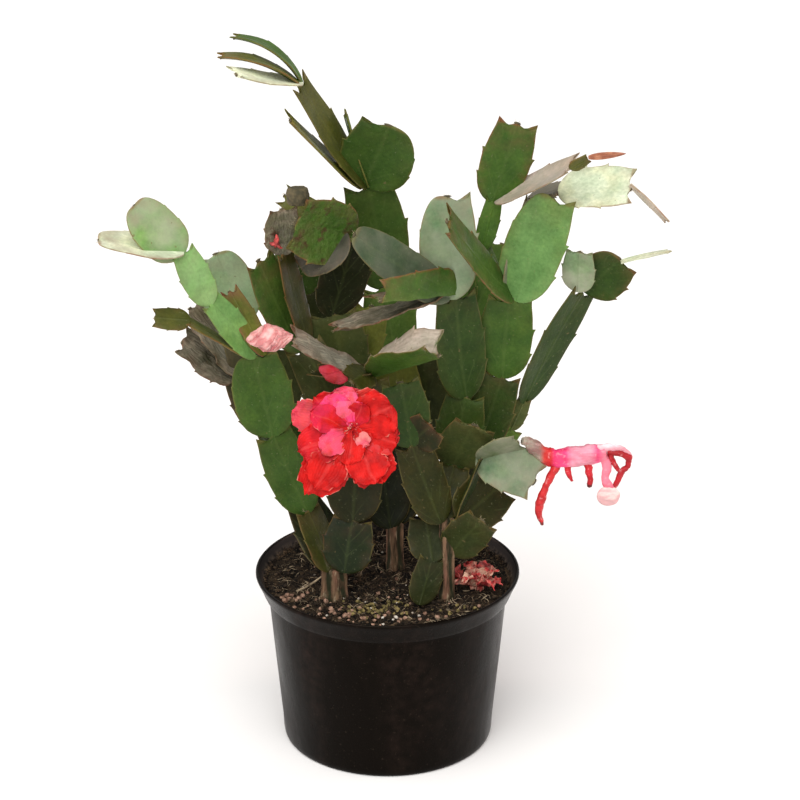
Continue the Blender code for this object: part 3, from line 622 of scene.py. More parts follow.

# The first line of a stem says where it leaves its trunk, in mm. The others are its segments.
# A key is that of the segment it grows on and one more letter. Then come its colour class and
# how light it is in tenths, both with the light and shade that fall on it painted in, length and
# width in mm, lean to the right of upright, reach to the front, turn of the face to the right, bow
# and fold in degrees, how far across the last tip it is joined in mm, how pale it is with bloom and
# painted highlight and how rusty its rim is. Last, whether it is round, horned on its right or left
# side only, dried or bumpy.
STEMS = """
stem_left_outer -30.5 -20 105
a O5 33 22 -21 -10 50 5 5 0 0 2
aa M7 49 24 -20 7 10 6 5 0 0 1
aaa M8 46 30 -11 7 0 6 8 0 0 1 right
aaaa B12 38 17 -34 12 35 8 10 0 0 1
aaaaa B13 30 16 -24 8 15 -8 10 0 1 2
aaaaaa B12 33.5 24 -43 4 15 8 8 -2 3 4 round
aaaaab P14 42 24 -79 11 62 5 10 -2 3 5 round
aaab O13 34 13 -22 -17 30 -12 10 5 0 8
aaac O12 40 14 -57 15 75 0 5 -4 0 3
aaaca O8 16 13 -83 7 30 0 5 0 0 3

stem_left_back -29 -14 102
a K7 40 24 -30 -34 20 0 5 0 0 1
aa D10 44 24 -28 -7 60 5 5 0 0 1
ab D10 52 26 8 -20 10 5 5 0 0 1
aaa G4 33 23 -21 -4 15 5 8 3 0 2
aab K19 46 28 20 -8 5 5 5 4 0 1
aaaa G7 35 24 -57 7 40 5 10 -4 2 6 dried
aaab G9 43 20 -36 -5 50 8 10 0 3 4 dried
aaac G6 26 20 1 -9 20 5 5 4 0 1
aaaca C15 41 29 -15 3 0 6 8 0 2 3 left

stem_left_inner -21.8 -23 105.5
a D2 27 26 9 -11 -5 5 8 0 0 2
aa O2 39 28 5 -6 5 5 8 0 0 1
aaa K15 60 26 -30 -13 20 5 8 -4 0 1
aaaa D12 56 23 -23 12 35 6 8 -3 0 4
aaab O5 55 20 -10 8 60 5 8 3 0 4
aaaba G7 24 18 2 11 20 10 15 0 2 5 dried bumpy
aab O6 45 28 6 12 -10 5 8 4 0 1
aaba M7 43 28 67 22 -75 5 42 4 0 2
aabb G6 47.5 18 -57 18.5 60 5 10 -4 3 6 dried
aabc D3 29 22 -95 -15 70 5 10 0 0 3
aabd O4 20.5 16 -76 65 20 5 5 0 0 1

stem_middle_left 1 15 114
a K7 41 26 -10 -10 0 5 5 0 0 1
aa D10 47 28 -18 8 5 5 5 0 0 1
aaa K28 38 30 -12 7 0 5 5 -2 0 1
aab O18 41 22 18 -2 20 5 5 5 0 1
aaaa K6 45 26 15 9 25 5 8 0 0 1
aaaaa M10 38 34 -65 31 -20 10 15 -3 0 5 bumpy
aaaab K4 32 28 -120 11 30 10 10 -6 1 2 round
aaaac O13 42 14 -62 -12 10 10 8 0 0 2

stem_middle_tall 5 21 114
a K7 42 26 4 -24 0 5 5 0 0 1
aa O15 45 28 -5 0 5 5 5 0 0 1
aaa D20 46 30 -7 6 20 5 5 0 0 1
aaaa D13 61 31 -8 13 0 6 8 0 0 1
aaaaa M6 38 37 19 18 10 12 12 -1 0 1 left
aaaab O8 66 24 -32 10 62 6 8 -2 0 1
aaaac O13 60 18 -44 23 70 4 6 -5 0 2
aaaad M10 38 13 -17 -4 84 5 5 0 0 2
aaaaba P17 36 20 -74 30 65 8 8 0 3 3
aaaabb O13 41 17 -70 6 74 -45 8 -2 0 4
aaaabc M9 39 15 -56 -9 74 -60 8 2 0 2

stem_right_inner 26.8 -23.8 134
a O3 46 23 -19 2 18 8 8 0 0 1
aa M4 35 24 -9 4 8 5 8 0 0 1
ab O2 15 22 47 7 10 5 8 3 0 3

stem_right_upright 27.5 -19.6 134
a O4 30 20 21 -44 0 5 5 0 0 1
aa D8 38 25 8 -6 0 5 8 0 0 1
aaa M4 59 27 -6 8 15 6 8 0 0 1
aaaa C10 52 29 -4.5 -3 -5 6 6 -2 2 3 right
aaab C4 68 22 -53 19 20 10 10 -5 1 1 round
aaac M9 50 21 -80 39 118 5 42 2 0 4
aaad G7 65 20 -103 14 65 5 10 -9 2 5 dried
ab K28 38 27 18 32 10 8 8 0 0 2

stem_right_top 33.5 -13.6 134
a K10 37 22 32 -51 0 5 5 0 0 1
aa D6 49 24 17 3 0 5 8 0 0 2
aaa M8 44 28 4 5 0 5 8 0 0 1
aaaa B10 63 30 19 12 -8 8 8 4 0 2 right
aaab M7 79 22 -32 35 55 5 6 0 0 4
aaac M7 52 14 11 -11 60 8 8 -3 3 2
aaad M10 29 15 -31 -10 50 5 8 -5 0 1
aaada M13 28 11 12 6 15 5 8 0 0 1
aaadaa M8 43.5 25 15 8 5 6 8 0 0 5
aaadab L8 51 22 58 28 -60 6 10 3 2 3
aaadaba O10 8 9 59 0 55 5 8 0 0 3
aaaca O2 19 18 70 24 -60 4 8 3 2 3
aaacaa P12 36 28 84 16 -38 10 10 0 0 4
aaacaaa L12 24 7 134 5 80 10 5 0 3 4

stem_right_outer 35 -16 124
a K10 52 22 32 -53 0 5 5 0 0 1
aa M15 22 16 42 7 20 5 5 0 0 2
aaa K40 18 9 20 9 0 0 5 0 0 2
aaaa M4 69 22 25 3 45 6 8 0 0 1
aaaaa C15 26 17 -8 23 -15 8 8 -4 4 2
aaaab M5 28 27 42 19 15 12 12 3 0 3 right
aaaaba P16 25 12 84 -5 85 10 5 3 3 1

stem_right_low 36.3 -22.5 134
a D3 36 18 20 -1 80 5 8 0 0 1
aa M7 22 20 62 11 55 8 8 0 3 1
ab C7 32 25 108 26 -8 8 8 2 2 3
b O3 30 28 60 -28 10 8 8 2 0 1

stem_right_side 34 -20 114
a K16 31 22 33 24 10 8 8 0 0 2

stem_back 3 24 112
a K10 44 26 -17 -27 20 5 5 0 0 1
aa D10 49 28 -29 -17 -10 5 8 0 0 1
aaa K8 41 28 -23 -11 10 8 8 0 0 1
aaaa D8 46 26 13 10 20 8 8 -3 0 1
aaab D10 25 24 -33 -18 -10 8 8 4 0 1
b K10 42 26 28 -35 -20 5 5 0 0 1
ba D10 42 28 27 -17 10 5 8 0 0 1
baa M10 38 28 10 -15 -15 8 8 0 0 1
baaa D14 42 28 27 -11 15 8 8 3 0 1
baab D10 42 24 -22 -2 -20 8 8 -4 0 1
bb K16 58 28 0 0 0 5 5 0 0 1

shoot_right 17 -30 90.5
a K10 23 17 16 -18 25 0 5 0 0 1
aa K11 22 22 -9 -22 10 5 5 0 0 1
"""
# These are folded along the rib and show their inside: its colour class with painted light and
# shade, bloom with painted highlight, rust and dryness
FOLDED = {
    ("stem_left_inner", "aaba"): ("L", 2, 3, 0.6),
    ("stem_right_upright", "aaac"): ("G", 1, 8, 0.8),
}
FRONT = Vector((0, -0.93, 0.36))


def model_blade(rows, columns, thickness, thick, left_rows=None):
    """A flat blade one unit long and two wide, shaped row by row from its margins."""
    last = len(rows) - 1
    count = len(columns) - 1
    bpy.ops.mesh.primitive_grid_add(x_subdivisions=2 * count, y_subdivisions=last, size=2)
    blade = bpy.context.object
    across, along = [], []
    group = blade.vertex_groups.new(name="thick")
    for vertex in blade.data.vertices:
        column = round(abs(vertex.co.x) * count)
        side = 1 if vertex.co.x > 0 else -1
        outline = left_rows if left_rows and side < 0 else rows
        rib, margin, share = outline[round((vertex.co.y + 1) / 2 * last)]
        out = columns[column]
        at = rib + (margin - rib) * out ** 1.6
        vertex.co = (side * share * out, at, 0)
        across.append(side * out)
        along.append(at)
        group.add([vertex.index], thickness[column], "REPLACE")
    store(blade, "across", across)
    store(blade, "along", along)
    solid = blade.modifiers.new("thickness", "SOLIDIFY")
    solid.thickness = thick * MM
    solid.offset = 0
    solid.vertex_group = "thick"
    solid.thickness_vertex_group = 0.0
    apply_all(blade)
    blade.vertex_groups.clear()
    return blade


def direction(lean, reach):
    """The way a segment grows: its lean to the right of upright, its reach to the front."""
    side, out = math.radians(lean), math.radians(reach)
    return Vector((math.sin(side) * math.cos(out), -math.sin(out), math.cos(side) * math.cos(out)))


def face_of(along, turn):
    """The way a segment's face looks when it grows along a line and is turned about it."""
    ahead = (FRONT - along * FRONT.dot(along)).normalized()
    across = along.cross(ahead)
    return ahead * math.cos(math.radians(turn)) + across * math.sin(math.radians(turn))


def bend_copy(master, length, width, bow, fold, draw, wave=0.5, twist=4.0, flip=1):
    """A copy of a blade at its size in mm, bowed, folded, and a little waved and twisted."""
    piece = master.copy()
    piece.data = master.data.copy()
    bpy.context.scene.collection.objects.link(piece)
    points = np.empty(len(piece.data.vertices) * 3)
    piece.data.vertices.foreach_get("co", points)
    points = points.reshape(-1, 3)
    share, along = points[:, 0] * flip, points[:, 1]
    sag = length * math.tan(math.radians(bow) / 4) / 2
    rise = math.tan(math.radians(fold))
    start, turns = draw.uniform(0, 6.28), draw.uniform(6, 9)
    x = share * width / 2 + 0.02 * length * draw.uniform(-1, 1) * np.sin(math.pi * along)
    y = along * length
    z = points[:, 2] / MM + np.abs(share) * width / 2 * rise - 4 * sag * along * (1 - along)
    z = z + wave * share ** 2 * np.sin(turns * along + start + 1.2 * np.sign(share))
    angle = np.radians(twist * draw.uniform(-1, 1)) * along
    turned_x = x * np.cos(angle) - z * np.sin(angle)
    turned_z = x * np.sin(angle) + z * np.cos(angle)
    points = np.stack((turned_x, y, turned_z), axis=1) * MM
    piece.data.vertices.foreach_set("co", points.ravel())
    if flip < 0:
        piece.data.flip_normals()
    piece.data.update()
    return piece


def stand(piece, base, along, normal):
    """Puts a blade's joint at a point, its rib along one way and its face to another."""
    turn = Matrix((along.cross(normal).normalized(), along, normal)).transposed().to_4x4()
    piece.data.transform(Matrix.Translation(base) @ turn)


def paint(piece, colour, pale=0.0, rust=0.0, dry=0.0, rough=0.0):
    """Stores a copy's colour with any painted light and shade, its bloom and painted highlight, its
    rust, dryness and roughness on its points.
    """
    count = len(piece.data.vertices)
    store(piece, "tint", np.tile((*colour, 1.0), count), "FLOAT_COLOR", "color")
    store(piece, "wear_and_highlight", np.tile((pale, rust, dry, rough), count), "FLOAT_COLOR", "color")


def paint_inside(piece, normal, colour, pale, rust, dry):
    """Gives the points that look the same way as a folded segment's face other values."""
    for number, vertex in enumerate(piece.data.vertices):
        if vertex.normal.dot(normal) > 0.2:
            piece.data.attributes["tint"].data[number].color = (*colour, 1.0)
            piece.data.attributes["wear_and_highlight"].data[number].color = (pale, rust, dry, 0.0)


# The crumples are the same each time
noise.seed_set(7)


def crumple(piece, size, depth, seed):
    """Moves a piece's points by soft noise, size and depth in mm."""
    for vertex in piece.data.vertices:
        push = noise.noise_vector(vertex.co / (size * MM) + Vector((seed, seed * 0.37, 0)))
        vertex.co += push * depth * MM


def join(pieces):
    """Joins pieces into the first of them."""
    pick(*pieces)
    bpy.ops.object.join()
    return bpy.context.object


horned = model_blade(HORNED, COLUMNS, THICKNESS, SEGMENT_RIB)
rounder = model_blade(ROUND, COLUMNS, THICKNESS, SEGMENT_RIB)
lopsided = model_blade(HORNED, COLUMNS, THICKNESS, SEGMENT_RIB, ROUND)

skin = new_finish("segment_skin", (0.06, 0.12, 0.03), 0.42, 0.16)
tint = attribute("tint", "Color")
bloom_and_painted_highlight, rusty, dry = channels("wear_and_highlight")
rough = attribute("wear_and_highlight", "Alpha")
across, along = attribute("across"), attribute("along")
out = times(across, 0, "ABSOLUTE")
tone = tint
for spots, dark, light in (
    ((9, 0.35, 0.65, 5), (0.80, 0.84, 0.77), (1.19, 1.14, 1.12)),
    ((1.6, 0.3, 0.7, 4), (0.84, 0.86, 0.80), (1.14, 1.12, 1.1)),
    ((17, 0.45, 0.65, 3), (1, 1, 1), (1.09, 1.02, 0.92)),
):
    tone = blend(1.0, tone, blend(patches(*spots), dark, light), "MULTIPLY")
slant = times(times(along, times(out, 0.55), "SUBTRACT"), 26)
veins = times(ramp(times(slant, 0, "SINE"), 0.80), patches(12, 0.45, 0.65, 2))
rim = times(ramp(out, 0.94, 0.995), ramp(along, 0.94, 0.97), "MAXIMUM")
wash = times(times(ramp(out, 0.45), ramp(along, 0.55), "MAXIMUM"), rusty)
grain = put("CombineXYZ", {0: times(across, 2.4), 1: times(along, 0.9)})
wrinkles = put("TexNoise", {"Vector": grain, "Scale": 4.5, "Detail": 7, "Distortion": 0.5})
wrinkles = times(ramp(wrinkles, 0.40, 0.62), dry)
bumps = times(patches(3.2, 0.36, 0.64, 3), rough)
feed(coat(
    tone,
    (ramp(out, 0.10, 0.02), 0.20, blend(0.4, tint, (0.16, 0.21, 0.06))),
    (veins, 0.10, (0.16, 0.21, 0.07)),
    # Bloom and painted highlight: a pale coat where the tops of segments face the light, as strong
    # as their pale value.
    (bloom_and_painted_highlight, patches(14, 0.25, 0.60, 4), (0.44, 0.41, 0.33)),
    (times(wash, patches(7, 0.35, 0.7, 3)), 0.8, (0.19, 0.075, 0.045)),
    (times(rim, patches(8, 0.30, 0.60, 3)), 0.45, (0.17, 0.155, 0.040)),
    (rim, times(rusty, patches(5, 0.35, 0.6, 3)), (0.22, 0.050, 0.028)),
    (patches(1.3, 0.70, 0.76, 1), 0.16, (0.34, 0.34, 0.20)),
    (wrinkles, 0.50, (0.055, 0.042, 0.026)),
    (times(patches(4, 0.50, 0.66, 4), dry), 0.45, (0.36, 0.30, 0.22)),
    (bumps, 0.30, (0.10, 0.125, 0.040)),
    (patches(6, 0.56, 0.70, 4), rough, (0.070, 0.034, 0.018)),
    (patches(3.2, 0.70, 0.76, 3), 0.7, (0.14, 0.10, 0.045)),
))
gloss = ramp(patches(11, 0.3, 0.7, 4), 0, 1, 0.32, 0.58)
feed(times(gloss, times(dry, 0.3), "ADD"), "Roughness")
relief = times(times(veins, 0.25), patches(1.9, 0.3, 0.7, 4), "ADD")
relief = times(relief, times(wrinkles, -3.5), "ADD")
rough_up(times(relief, times(bumps, 5.0), "ADD"), 0.12, 0.7)

draw = random.Random(5)
tips = {}
for plan in STEMS.strip().split("\n\n"):
    (stem_name, *root), *rows = [line.split() for line in plan.splitlines()]
    joints = {"": (Vector([float(place) for place in root]) * MM, Vector((1, 0, 0)))}
    segments = []
    for row in rows:
        key, green, *sizes = row[:12]
        signs = row[12:]
        length, width, lean, reach, turn, bow, fold, side, pale, rust = map(float, sizes)
        joint, last_across = joints[key[:-1]]
        tip = joint + direction(lean, reach) * length * MM
        base = joint + last_across * side * MM
        along = (tip - base).normalized()
        normal = face_of(along, turn)
        size = (tip - base).length / MM + SEGMENT_SINK
        dried, folded = "dried" in signs, (stem_name, key) in FOLDED
        flip = draw.choice((-1, 1))
        master = rounder if "round" in signs else horned
        for sign, hand in (("right", 1), ("left", -1)):
            if sign in signs:
                master, flip = lopsided, hand
        segment = bend_copy(
            master, size, width, bow, fold, draw,
            wave=(0.05 if dried or folded else 0.02) * width, twist=5, flip=flip)
        if dried or folded:
            crumple(segment, 5.0, 1.3 if dried else 0.9, 1.7 * len(tips))
        stand(segment, base - along * SEGMENT_SINK * MM, along, normal)
        # How light a segment is paints in the light and shade that fall on it: lit ones lighter,
        # shaded ones darker.
        light = draw.uniform(0.94, 1.06) * (int(green[1:]) / 10)
        paint(segment, [c * light for c in GREENS_WITH_PAINTED_LIGHT[green[0]]], pale / 6, rust / 8,
              float(dried), float("bumpy" in signs))
        if folded:
            inside, pale, rust, dry = FOLDED[stem_name, key]
            paint_inside(segment, normal, GREENS_WITH_PAINTED_LIGHT[inside], pale / 6, rust / 8, dry)
        segments.append(segment)
        joints[key] = (tip, along.cross(normal))
        tips[stem_name, key] = (tip, along, normal, width)
    piece_name = stem_name.replace("stem", "segments").replace("shoot_right", "segments_shoot")
    finish_piece(join(segments), piece_name, skin, (stem_name,), flat=50)
discard(horned, rounder, lopsided)


# The open flower: broad red petals in layers round a short throat, each with a paler rib and a
# ruffled margin, some of them pink or creamy, one small pink and creamy one at the middle being a
# painted highlight, and a brush of thin red filaments with cream tips in the middle.
FLOWER_CENTRE = Vector((-17.3, -50, 194)) * MM
FLOWER_FACE = Vector((0.02, -0.95, 0.30)).normalized()
FLOWER_TUBE = ((-16.3, -43.7, 213.8, 1.6), (-18, -44.5, 209, 3.0), (-17.6, -44, 203, 3.4),
               (-17.3, -45, 197, 4.2), (-17.3, -49, 194.5, 4.6))
# Clockwise angle from the top, opening, length, width, bow, fold, how pink and how creamy it is
FLOWER_PETALS = (
    (288, 92, 31, 18, -10, 8, 0.30, 0.10), (216, 86, 38, 24, -12, 6, 0.0, 0.0),
    (150, 86, 30, 24, -12, 8, 0.0, 0.0), (182, 84, 23, 18, -14, 8, 0.0, 0.0),
    (120, 90, 22, 16, -12, 10, 0.1, 0.20), (96, 86, 23, 22, -14, 6, 0.05, 0.05),
    (64, 88, 23, 22, -14, 6, 0.0, 0.0), (38, 90, 23, 20, -12, 6, 0.0, 0.05),
    (12, 88, 20, 18, -14, 8, 0.9, 0.15), (338, 88, 22, 19, -14, 8, 0.7, 0.20),
    (312, 84, 24, 16, -12, 8, 0.2, 0.0),
    (250, 80, 28, 21, -12, 8, 0.05, 0.0), (324, 76, 22, 16, -8, 4, 1.0, 0.05),
    (352, 76, 19, 14, -10, 6, 1.0, 0.15), (104, 78, 23, 24, -12, 8, 0.0, 0.0),
    (156, 78, 29, 21, -12, 6, 0.0, 0.0), (213, 80, 34, 20, -10, 6, 0.0, 0.0),
    (58, 76, 24, 25, -12, 6, 0.0, 0.0), (236, 72, 19, 13, -10, 6, 0.55, 0.10),
    (296, 72, 23, 13, -10, 8, 0.25, 0.0), (20, 70, 15, 12, -10, 6, 0.1, 0.0),
    # The small pink and creamy petal at 134 degrees, at the middle of the flower, is a painted
    # highlight.
    (134, 66, 12, 8, -10, 10, 0.5, 0.5), (186, 70, 17, 15, -10, 8, 0.0, 0.0),
)
STAMEN_COUNT = 20
PETAL_ROWS = (
    (0.00, 0.00, 0.30), (0.08, 0.08, 0.38), (0.17, 0.165, 0.50), (0.27, 0.26, 0.65),
    (0.37, 0.355, 0.80), (0.47, 0.45, 0.92), (0.57, 0.55, 0.99), (0.66, 0.64, 1.02),
    (0.75, 0.725, 0.99), (0.83, 0.805, 0.92), (0.90, 0.875, 0.80), (0.95, 0.93, 0.62),
    (0.985, 0.972, 0.37), (1.00, 0.996, 0.12),
)
PETAL_COLUMNS = (0.0, 0.12, 0.34, 0.58, 0.80, 0.95, 1.0)
PETAL_THICKNESS = (1.0, 0.8, 0.7, 0.6, 0.5, 0.4, 0.25)

petal = model_blade(PETAL_ROWS, PETAL_COLUMNS, PETAL_THICKNESS, 0.9)
finer = petal.modifiers.new("finer", "SUBSURF")
finer.subdivision_type = "SIMPLE"
finer.levels = 1
apply_all(petal)


def petal_ring(centre, axis, rows, draw, ruffle=0.9, sink=0.8):
    """Petals round an axis, joined later. Each row is as in the flower's table."""
    up = Vector((0, 0, 1)) if abs(axis.z) < 0.9 else Vector((0, 1, 0))
    up = (up - axis * up.dot(axis)).normalized()
    right = up.cross(axis).normalized()
    made = []
    for angle, opening, length, width, bow, fold, pink, creamy in rows:
        turn, open_by = math.radians(angle), math.radians(opening)
        radial = up * math.cos(turn) + right * math.sin(turn)
        along = radial * math.sin(open_by) + axis * math.cos(open_by)
        normal = axis * math.sin(open_by) - radial * math.cos(open_by)
        leaf = bend_copy(petal, length, width, bow, fold, draw, wave=ruffle, twist=12)
        for vertex, place in zip(leaf.data.vertices, leaf.data.attributes["across"].data):
            frill = noise.noise(Vector((vertex.co.y / MM * 0.45, place.value * 2 + angle, 0)))
            fringe = noise.noise(Vector((vertex.co.y / MM * 0.8, place.value * 1.6 + angle, 5)))
            margin = max(abs(place.value) ** 3, (vertex.co.y / MM / length) ** 6)
            vertex.co.z += (frill * 2.0 + fringe * 0.9) * ruffle * margin * MM
            vertex.co.x *= 1 + 0.07 * fringe * margin
            vertex.co.y *= 1 + 0.06 * fringe * margin
        stand(leaf, centre + radial * 1.2 * MM - along * sink * MM, along, normal)
        crumple(leaf, 8.0, 1.3 * ruffle, angle * 0.1)
        paint(leaf, (pink, creamy, 0))
        made.append(leaf)
    return made


silk = new_finish("petal_red", (0.6, 0.006, 0.008), 0.5, 0.16)
glow(0.08, (1.0, 0.15, 0.1), 0.002)
pinkness, creaminess, painted_shade = channels("tint")
across, along = attribute("across"), attribute("along")
out = times(across, 0, "ABSOLUTE")
rays = times(times(times(across, 11), 0, "SINE"), ramp(along, 0.75, 0.15))
feed(coat(
    blend(patches(7, 0.35, 0.65, 3), (0.36, 0.002, 0.002), (0.62, 0.008, 0.006)),
    (pinkness, patches(10, 0.34, 0.56, 2), (0.90, 0.045, 0.19)),
    (creaminess, patches(6, 0.25, 0.5, 2), (0.88, 0.42, 0.34)),
    (ramp(out, 0.12, 0.0), 0.22, (0.85, 0.10, 0.09)),
    (ramp(rays, 0.4), 0.5, (0.22, 0.002, 0.006)),
    (times(ramp(out, 0.93), patches(6, 0.52, 0.66, 3)), 0.7, (0.90, 0.34, 0.26)),
    # Painted shade: the third value of the tint darkens what sits in shade, the small bud.
    (painted_shade, 1.0, (0.17, 0.006, 0.012)),
    (patches(3.0, 0.70, 0.75, 2), 0.35, (0.85, 0.24, 0.20)),
))
grooves = times(times(times(across, 42), 0, "SINE"), 0.2)
rough_up(times(grooves, patches(2.5, 0.3, 0.7, 4), "ADD"), 0.25, 0.8)

draw = random.Random(31)
throat = strand(FLOWER_TUBE, 5, 6)
paint(throat, (0.2, 0, 0))
flower = join([throat] + petal_ring(FLOWER_CENTRE, FLOWER_FACE, FLOWER_PETALS, draw))
finish_piece(flower, "open_flower", silk, ("flower_open",), flat=60)

filaments = two_tone("stamens", (0.6, 0.1, 0.1), 0.5, 0.3, (3.5, 0.5, 0.62, 2),
                     (0.30, 0.004, 0.012), (0.86, 0.50, 0.36))
brush = []
centre = FLOWER_CENTRE / MM
for _ in range(STAMEN_COUNT):
    angle = draw.uniform(0, 6.28)
    spread = draw.uniform(1.5, 5.5)
    reach = draw.uniform(4, 9)
    out = Vector((math.cos(angle), 0, math.sin(angle)))
    foot = centre + out * spread * 0.3 + FLOWER_FACE * 1
    head = centre + (out - Vector((0, 0, 0.1))) * spread + FLOWER_FACE * reach
    bend = (foot + head) / 2 + Vector((draw.uniform(-0.8, 0.8), 0, draw.uniform(-0.8, 0.8)))
    near = head - (head - bend).normalized() * 0.7
    brush.append(strand(((*foot, 0.13), (*bend, 0.11), (*near, 0.11), (*head, 0.28)), 3))
finish_piece(join(brush), "stamen_brush", filaments)


# The buds: a small red one beside the open flower and a larger pale pink one at the end of the
# long level segment, each a spindle of petals still wrapped over one another.
BUD_PINK = ((-47.7, -38.1, 238.4, 1.6), (-51.5, -39, 238.9, 4.2), (-56, -40, 239.2, 6.4),
            (-61, -41, 239.3, 6.2), (-65.5, -41.6, 239, 3.8), (-69.2, -42, 238.7, 0.8))
BUD_RED = ((-20.4, -41.4, 217.7, 1.4), (-23.4, -44.2, 219.2, 3.0), (-27, -45, 221.8, 3.9),
           (-30.5, -45.6, 224, 3.0), (-33.4, -46, 225.6, 0.8))


def wrap_bud(points, scales, seed):
    """A bud: a spindle whose surface rises in overlapping petals towards its point."""
    bud = strand(points, 8, 12)
    foot, head = Vector(points[0][:3]) * MM, Vector(points[-1][:3]) * MM
    axis = (head - foot).normalized()
    side = axis.orthogonal().normalized()
    other = axis.cross(side)
    wraps = []
    for vertex in bud.data.vertices:
        run = (vertex.co - foot).dot(axis) / (head - foot).length
        off = vertex.co - foot - axis * (vertex.co - foot).dot(axis)
        angle = math.atan2(off.dot(other), off.dot(side))
        layer = (angle / (2 * math.pi) * scales + run * 1.6 + seed) % 1.0
        wraps.append(layer)
        vertex.co += off * (0.16 * (layer - 0.5)) * min(1, max(0, run * 3))
    store(bud, "across", wraps)
    return bud


red_bud = wrap_bud(BUD_RED, 4, 0.2)
crumple(red_bud, 3.0, 0.35, 2.1)
store(red_bud, "along", [1.0] * len(red_bud.data.vertices))
# The small bud's third value darkens it: painted shade.
paint(red_bud, (0.35, 0.10, 0.55))
finish_piece(red_bud, "small_bud", silk, ("bud_red",), flat=60)

blush = new_finish("bud_blush", (0.85, 0.5, 0.48), 0.45)
glow(0.2, (1.0, 0.4, 0.35), 0.003)
wraps = attribute("across")
streaks = times(times(wraps, 30), 0, "SINE")
feed(coat(
    blend(patches(5, 0.38, 0.62, 4), (0.58, 0.19, 0.19), (0.84, 0.46, 0.43)),
    (ramp(wraps, 0.80), 0.8, (0.46, 0.075, 0.09)),
    (ramp(streaks, 0.5), 0.3, (0.62, 0.17, 0.18)),
))
rough_up(times(streaks, patches(1.4, 0.3, 0.7, 4), "ADD"), 0.18, 0.8)
pink_bud = wrap_bud(BUD_PINK, 3, 0.0)
crumple(pink_bud, 4.0, 1.3, 3.1)
crumple(pink_bud, 1.8, 0.45, 5.1)
finish_piece(pink_bud, "pink_bud", blush, ("bud_pink",), flat=60)


# The wilted flower: it hangs out level from the low right segment. Its dried grey calyx and its
# collapsed magenta tube are still firm, and the spent petals droop from them as limp red rags,
# one of which ends in a pale lump.
WILTED_PARTS = (
    ("tube", ((69.0, -24.2, 177.2, 1.6), (71.4, -24.0, 176.9, 2.8), (74.5, -24.6, 174.8, 3.8),
              (79, -26.6, 171.6, 4.0), (81.6, -27.4, 170.4, 4.9), (83.6, -28, 170.2, 4.6),
              (88, -28.8, 170.0, 4.9), (93, -29.4, 170.8, 5.2), (99, -30, 171.8, 5.2),
              (106, -30, 172.9, 4.6), (111, -30.4, 173.8, 3.6))),
    ("veil", ((108, -30.2, 174.6, 3.4), (113, -30.6, 176.6, 2.4), (118.5, -31, 175.8, 2.0),
              (123.6, -31.4, 172.4, 1.4))),
    ("dark", ((112, -31.6, 174.0, 1.2), (118, -32, 173.8, 1.6), (122.6, -32, 171.6, 1.7),
              (122.4, -32, 166.6, 1.4), (119.6, -32, 163.8, 1.6), (117.4, -32, 158.4, 1.4),
              (115.4, -32, 153.5, 0.8))),
    ("dark", ((113.6, -31.4, 173.4, 1.4), (114.8, -31.8, 169.4, 1.3), (117.2, -32, 165.6, 1.2),
              (119.4, -32, 163.6, 1.1))),
    ("drape", ((109, -31, 172.8, 2.8), (111.8, -32, 167.2, 2.5), (111.4, -33, 160.2, 2.1),
               (113.4, -33, 154.6, 2.6), (115.2, -33, 149.6, 1.4))),
    ("strand", ((86.9, -29.4, 167.6, 2.6), (84.0, -30.4, 161.4, 2.0), (80.6, -31.4, 154.2, 1.8),
                (78.6, -32, 147.8, 2.3), (77.6, -32, 141.6, 1.9), (79.6, -32, 134.4, 0.8))),
    ("drop", ((91.6, -30, 168.2, 2.0), (92.6, -31, 163.4, 1.5), (94.2, -31.4, 158.6, 0.8))),
    ("drop", ((101.6, -30, 168.8, 2.2), (103.0, -30.6, 163.4, 1.8), (103.6, -31, 157.4, 1.5),
              (103.2, -31, 154.8, 0.7))),
)
WILTED_TINTS = {
    "veil": (0.92, 0.62, 0.66), "dark": (0.44, 0.012, 0.020), "drape": (0.88, 0.22, 0.30),
    "strand": (0.58, 0.024, 0.026), "drop": (0.60, 0.018, 0.030),
}
VEIL_MIDDLE, VEIL_FLATTEN = -31.5, 0.45
DRIED_TIPS, DRIED_LENGTH = (5, 7), 2.2
PALE_LUMP = (113.2, -32.6, 150.6)
PALE_LUMP_SIZE = (6.0, 1.6, 5.6)
# Along the tube: a place in mm and the colour there
TUBE_COLOURS = (
    (74, (0.34, 0.30, 0.23)), (78, (0.30, 0.22, 0.17)), (80, (0.62, 0.040, 0.030)),
    (83.5, (0.64, 0.018, 0.022)), (85, (0.86, 0.045, 0.18)), (91, (0.88, 0.065, 0.22)),
    (94, (0.90, 0.34, 0.45)), (103, (0.91, 0.42, 0.52)), (107, (0.87, 0.085, 0.24)),
    (112, (0.90, 0.40, 0.46)),
)

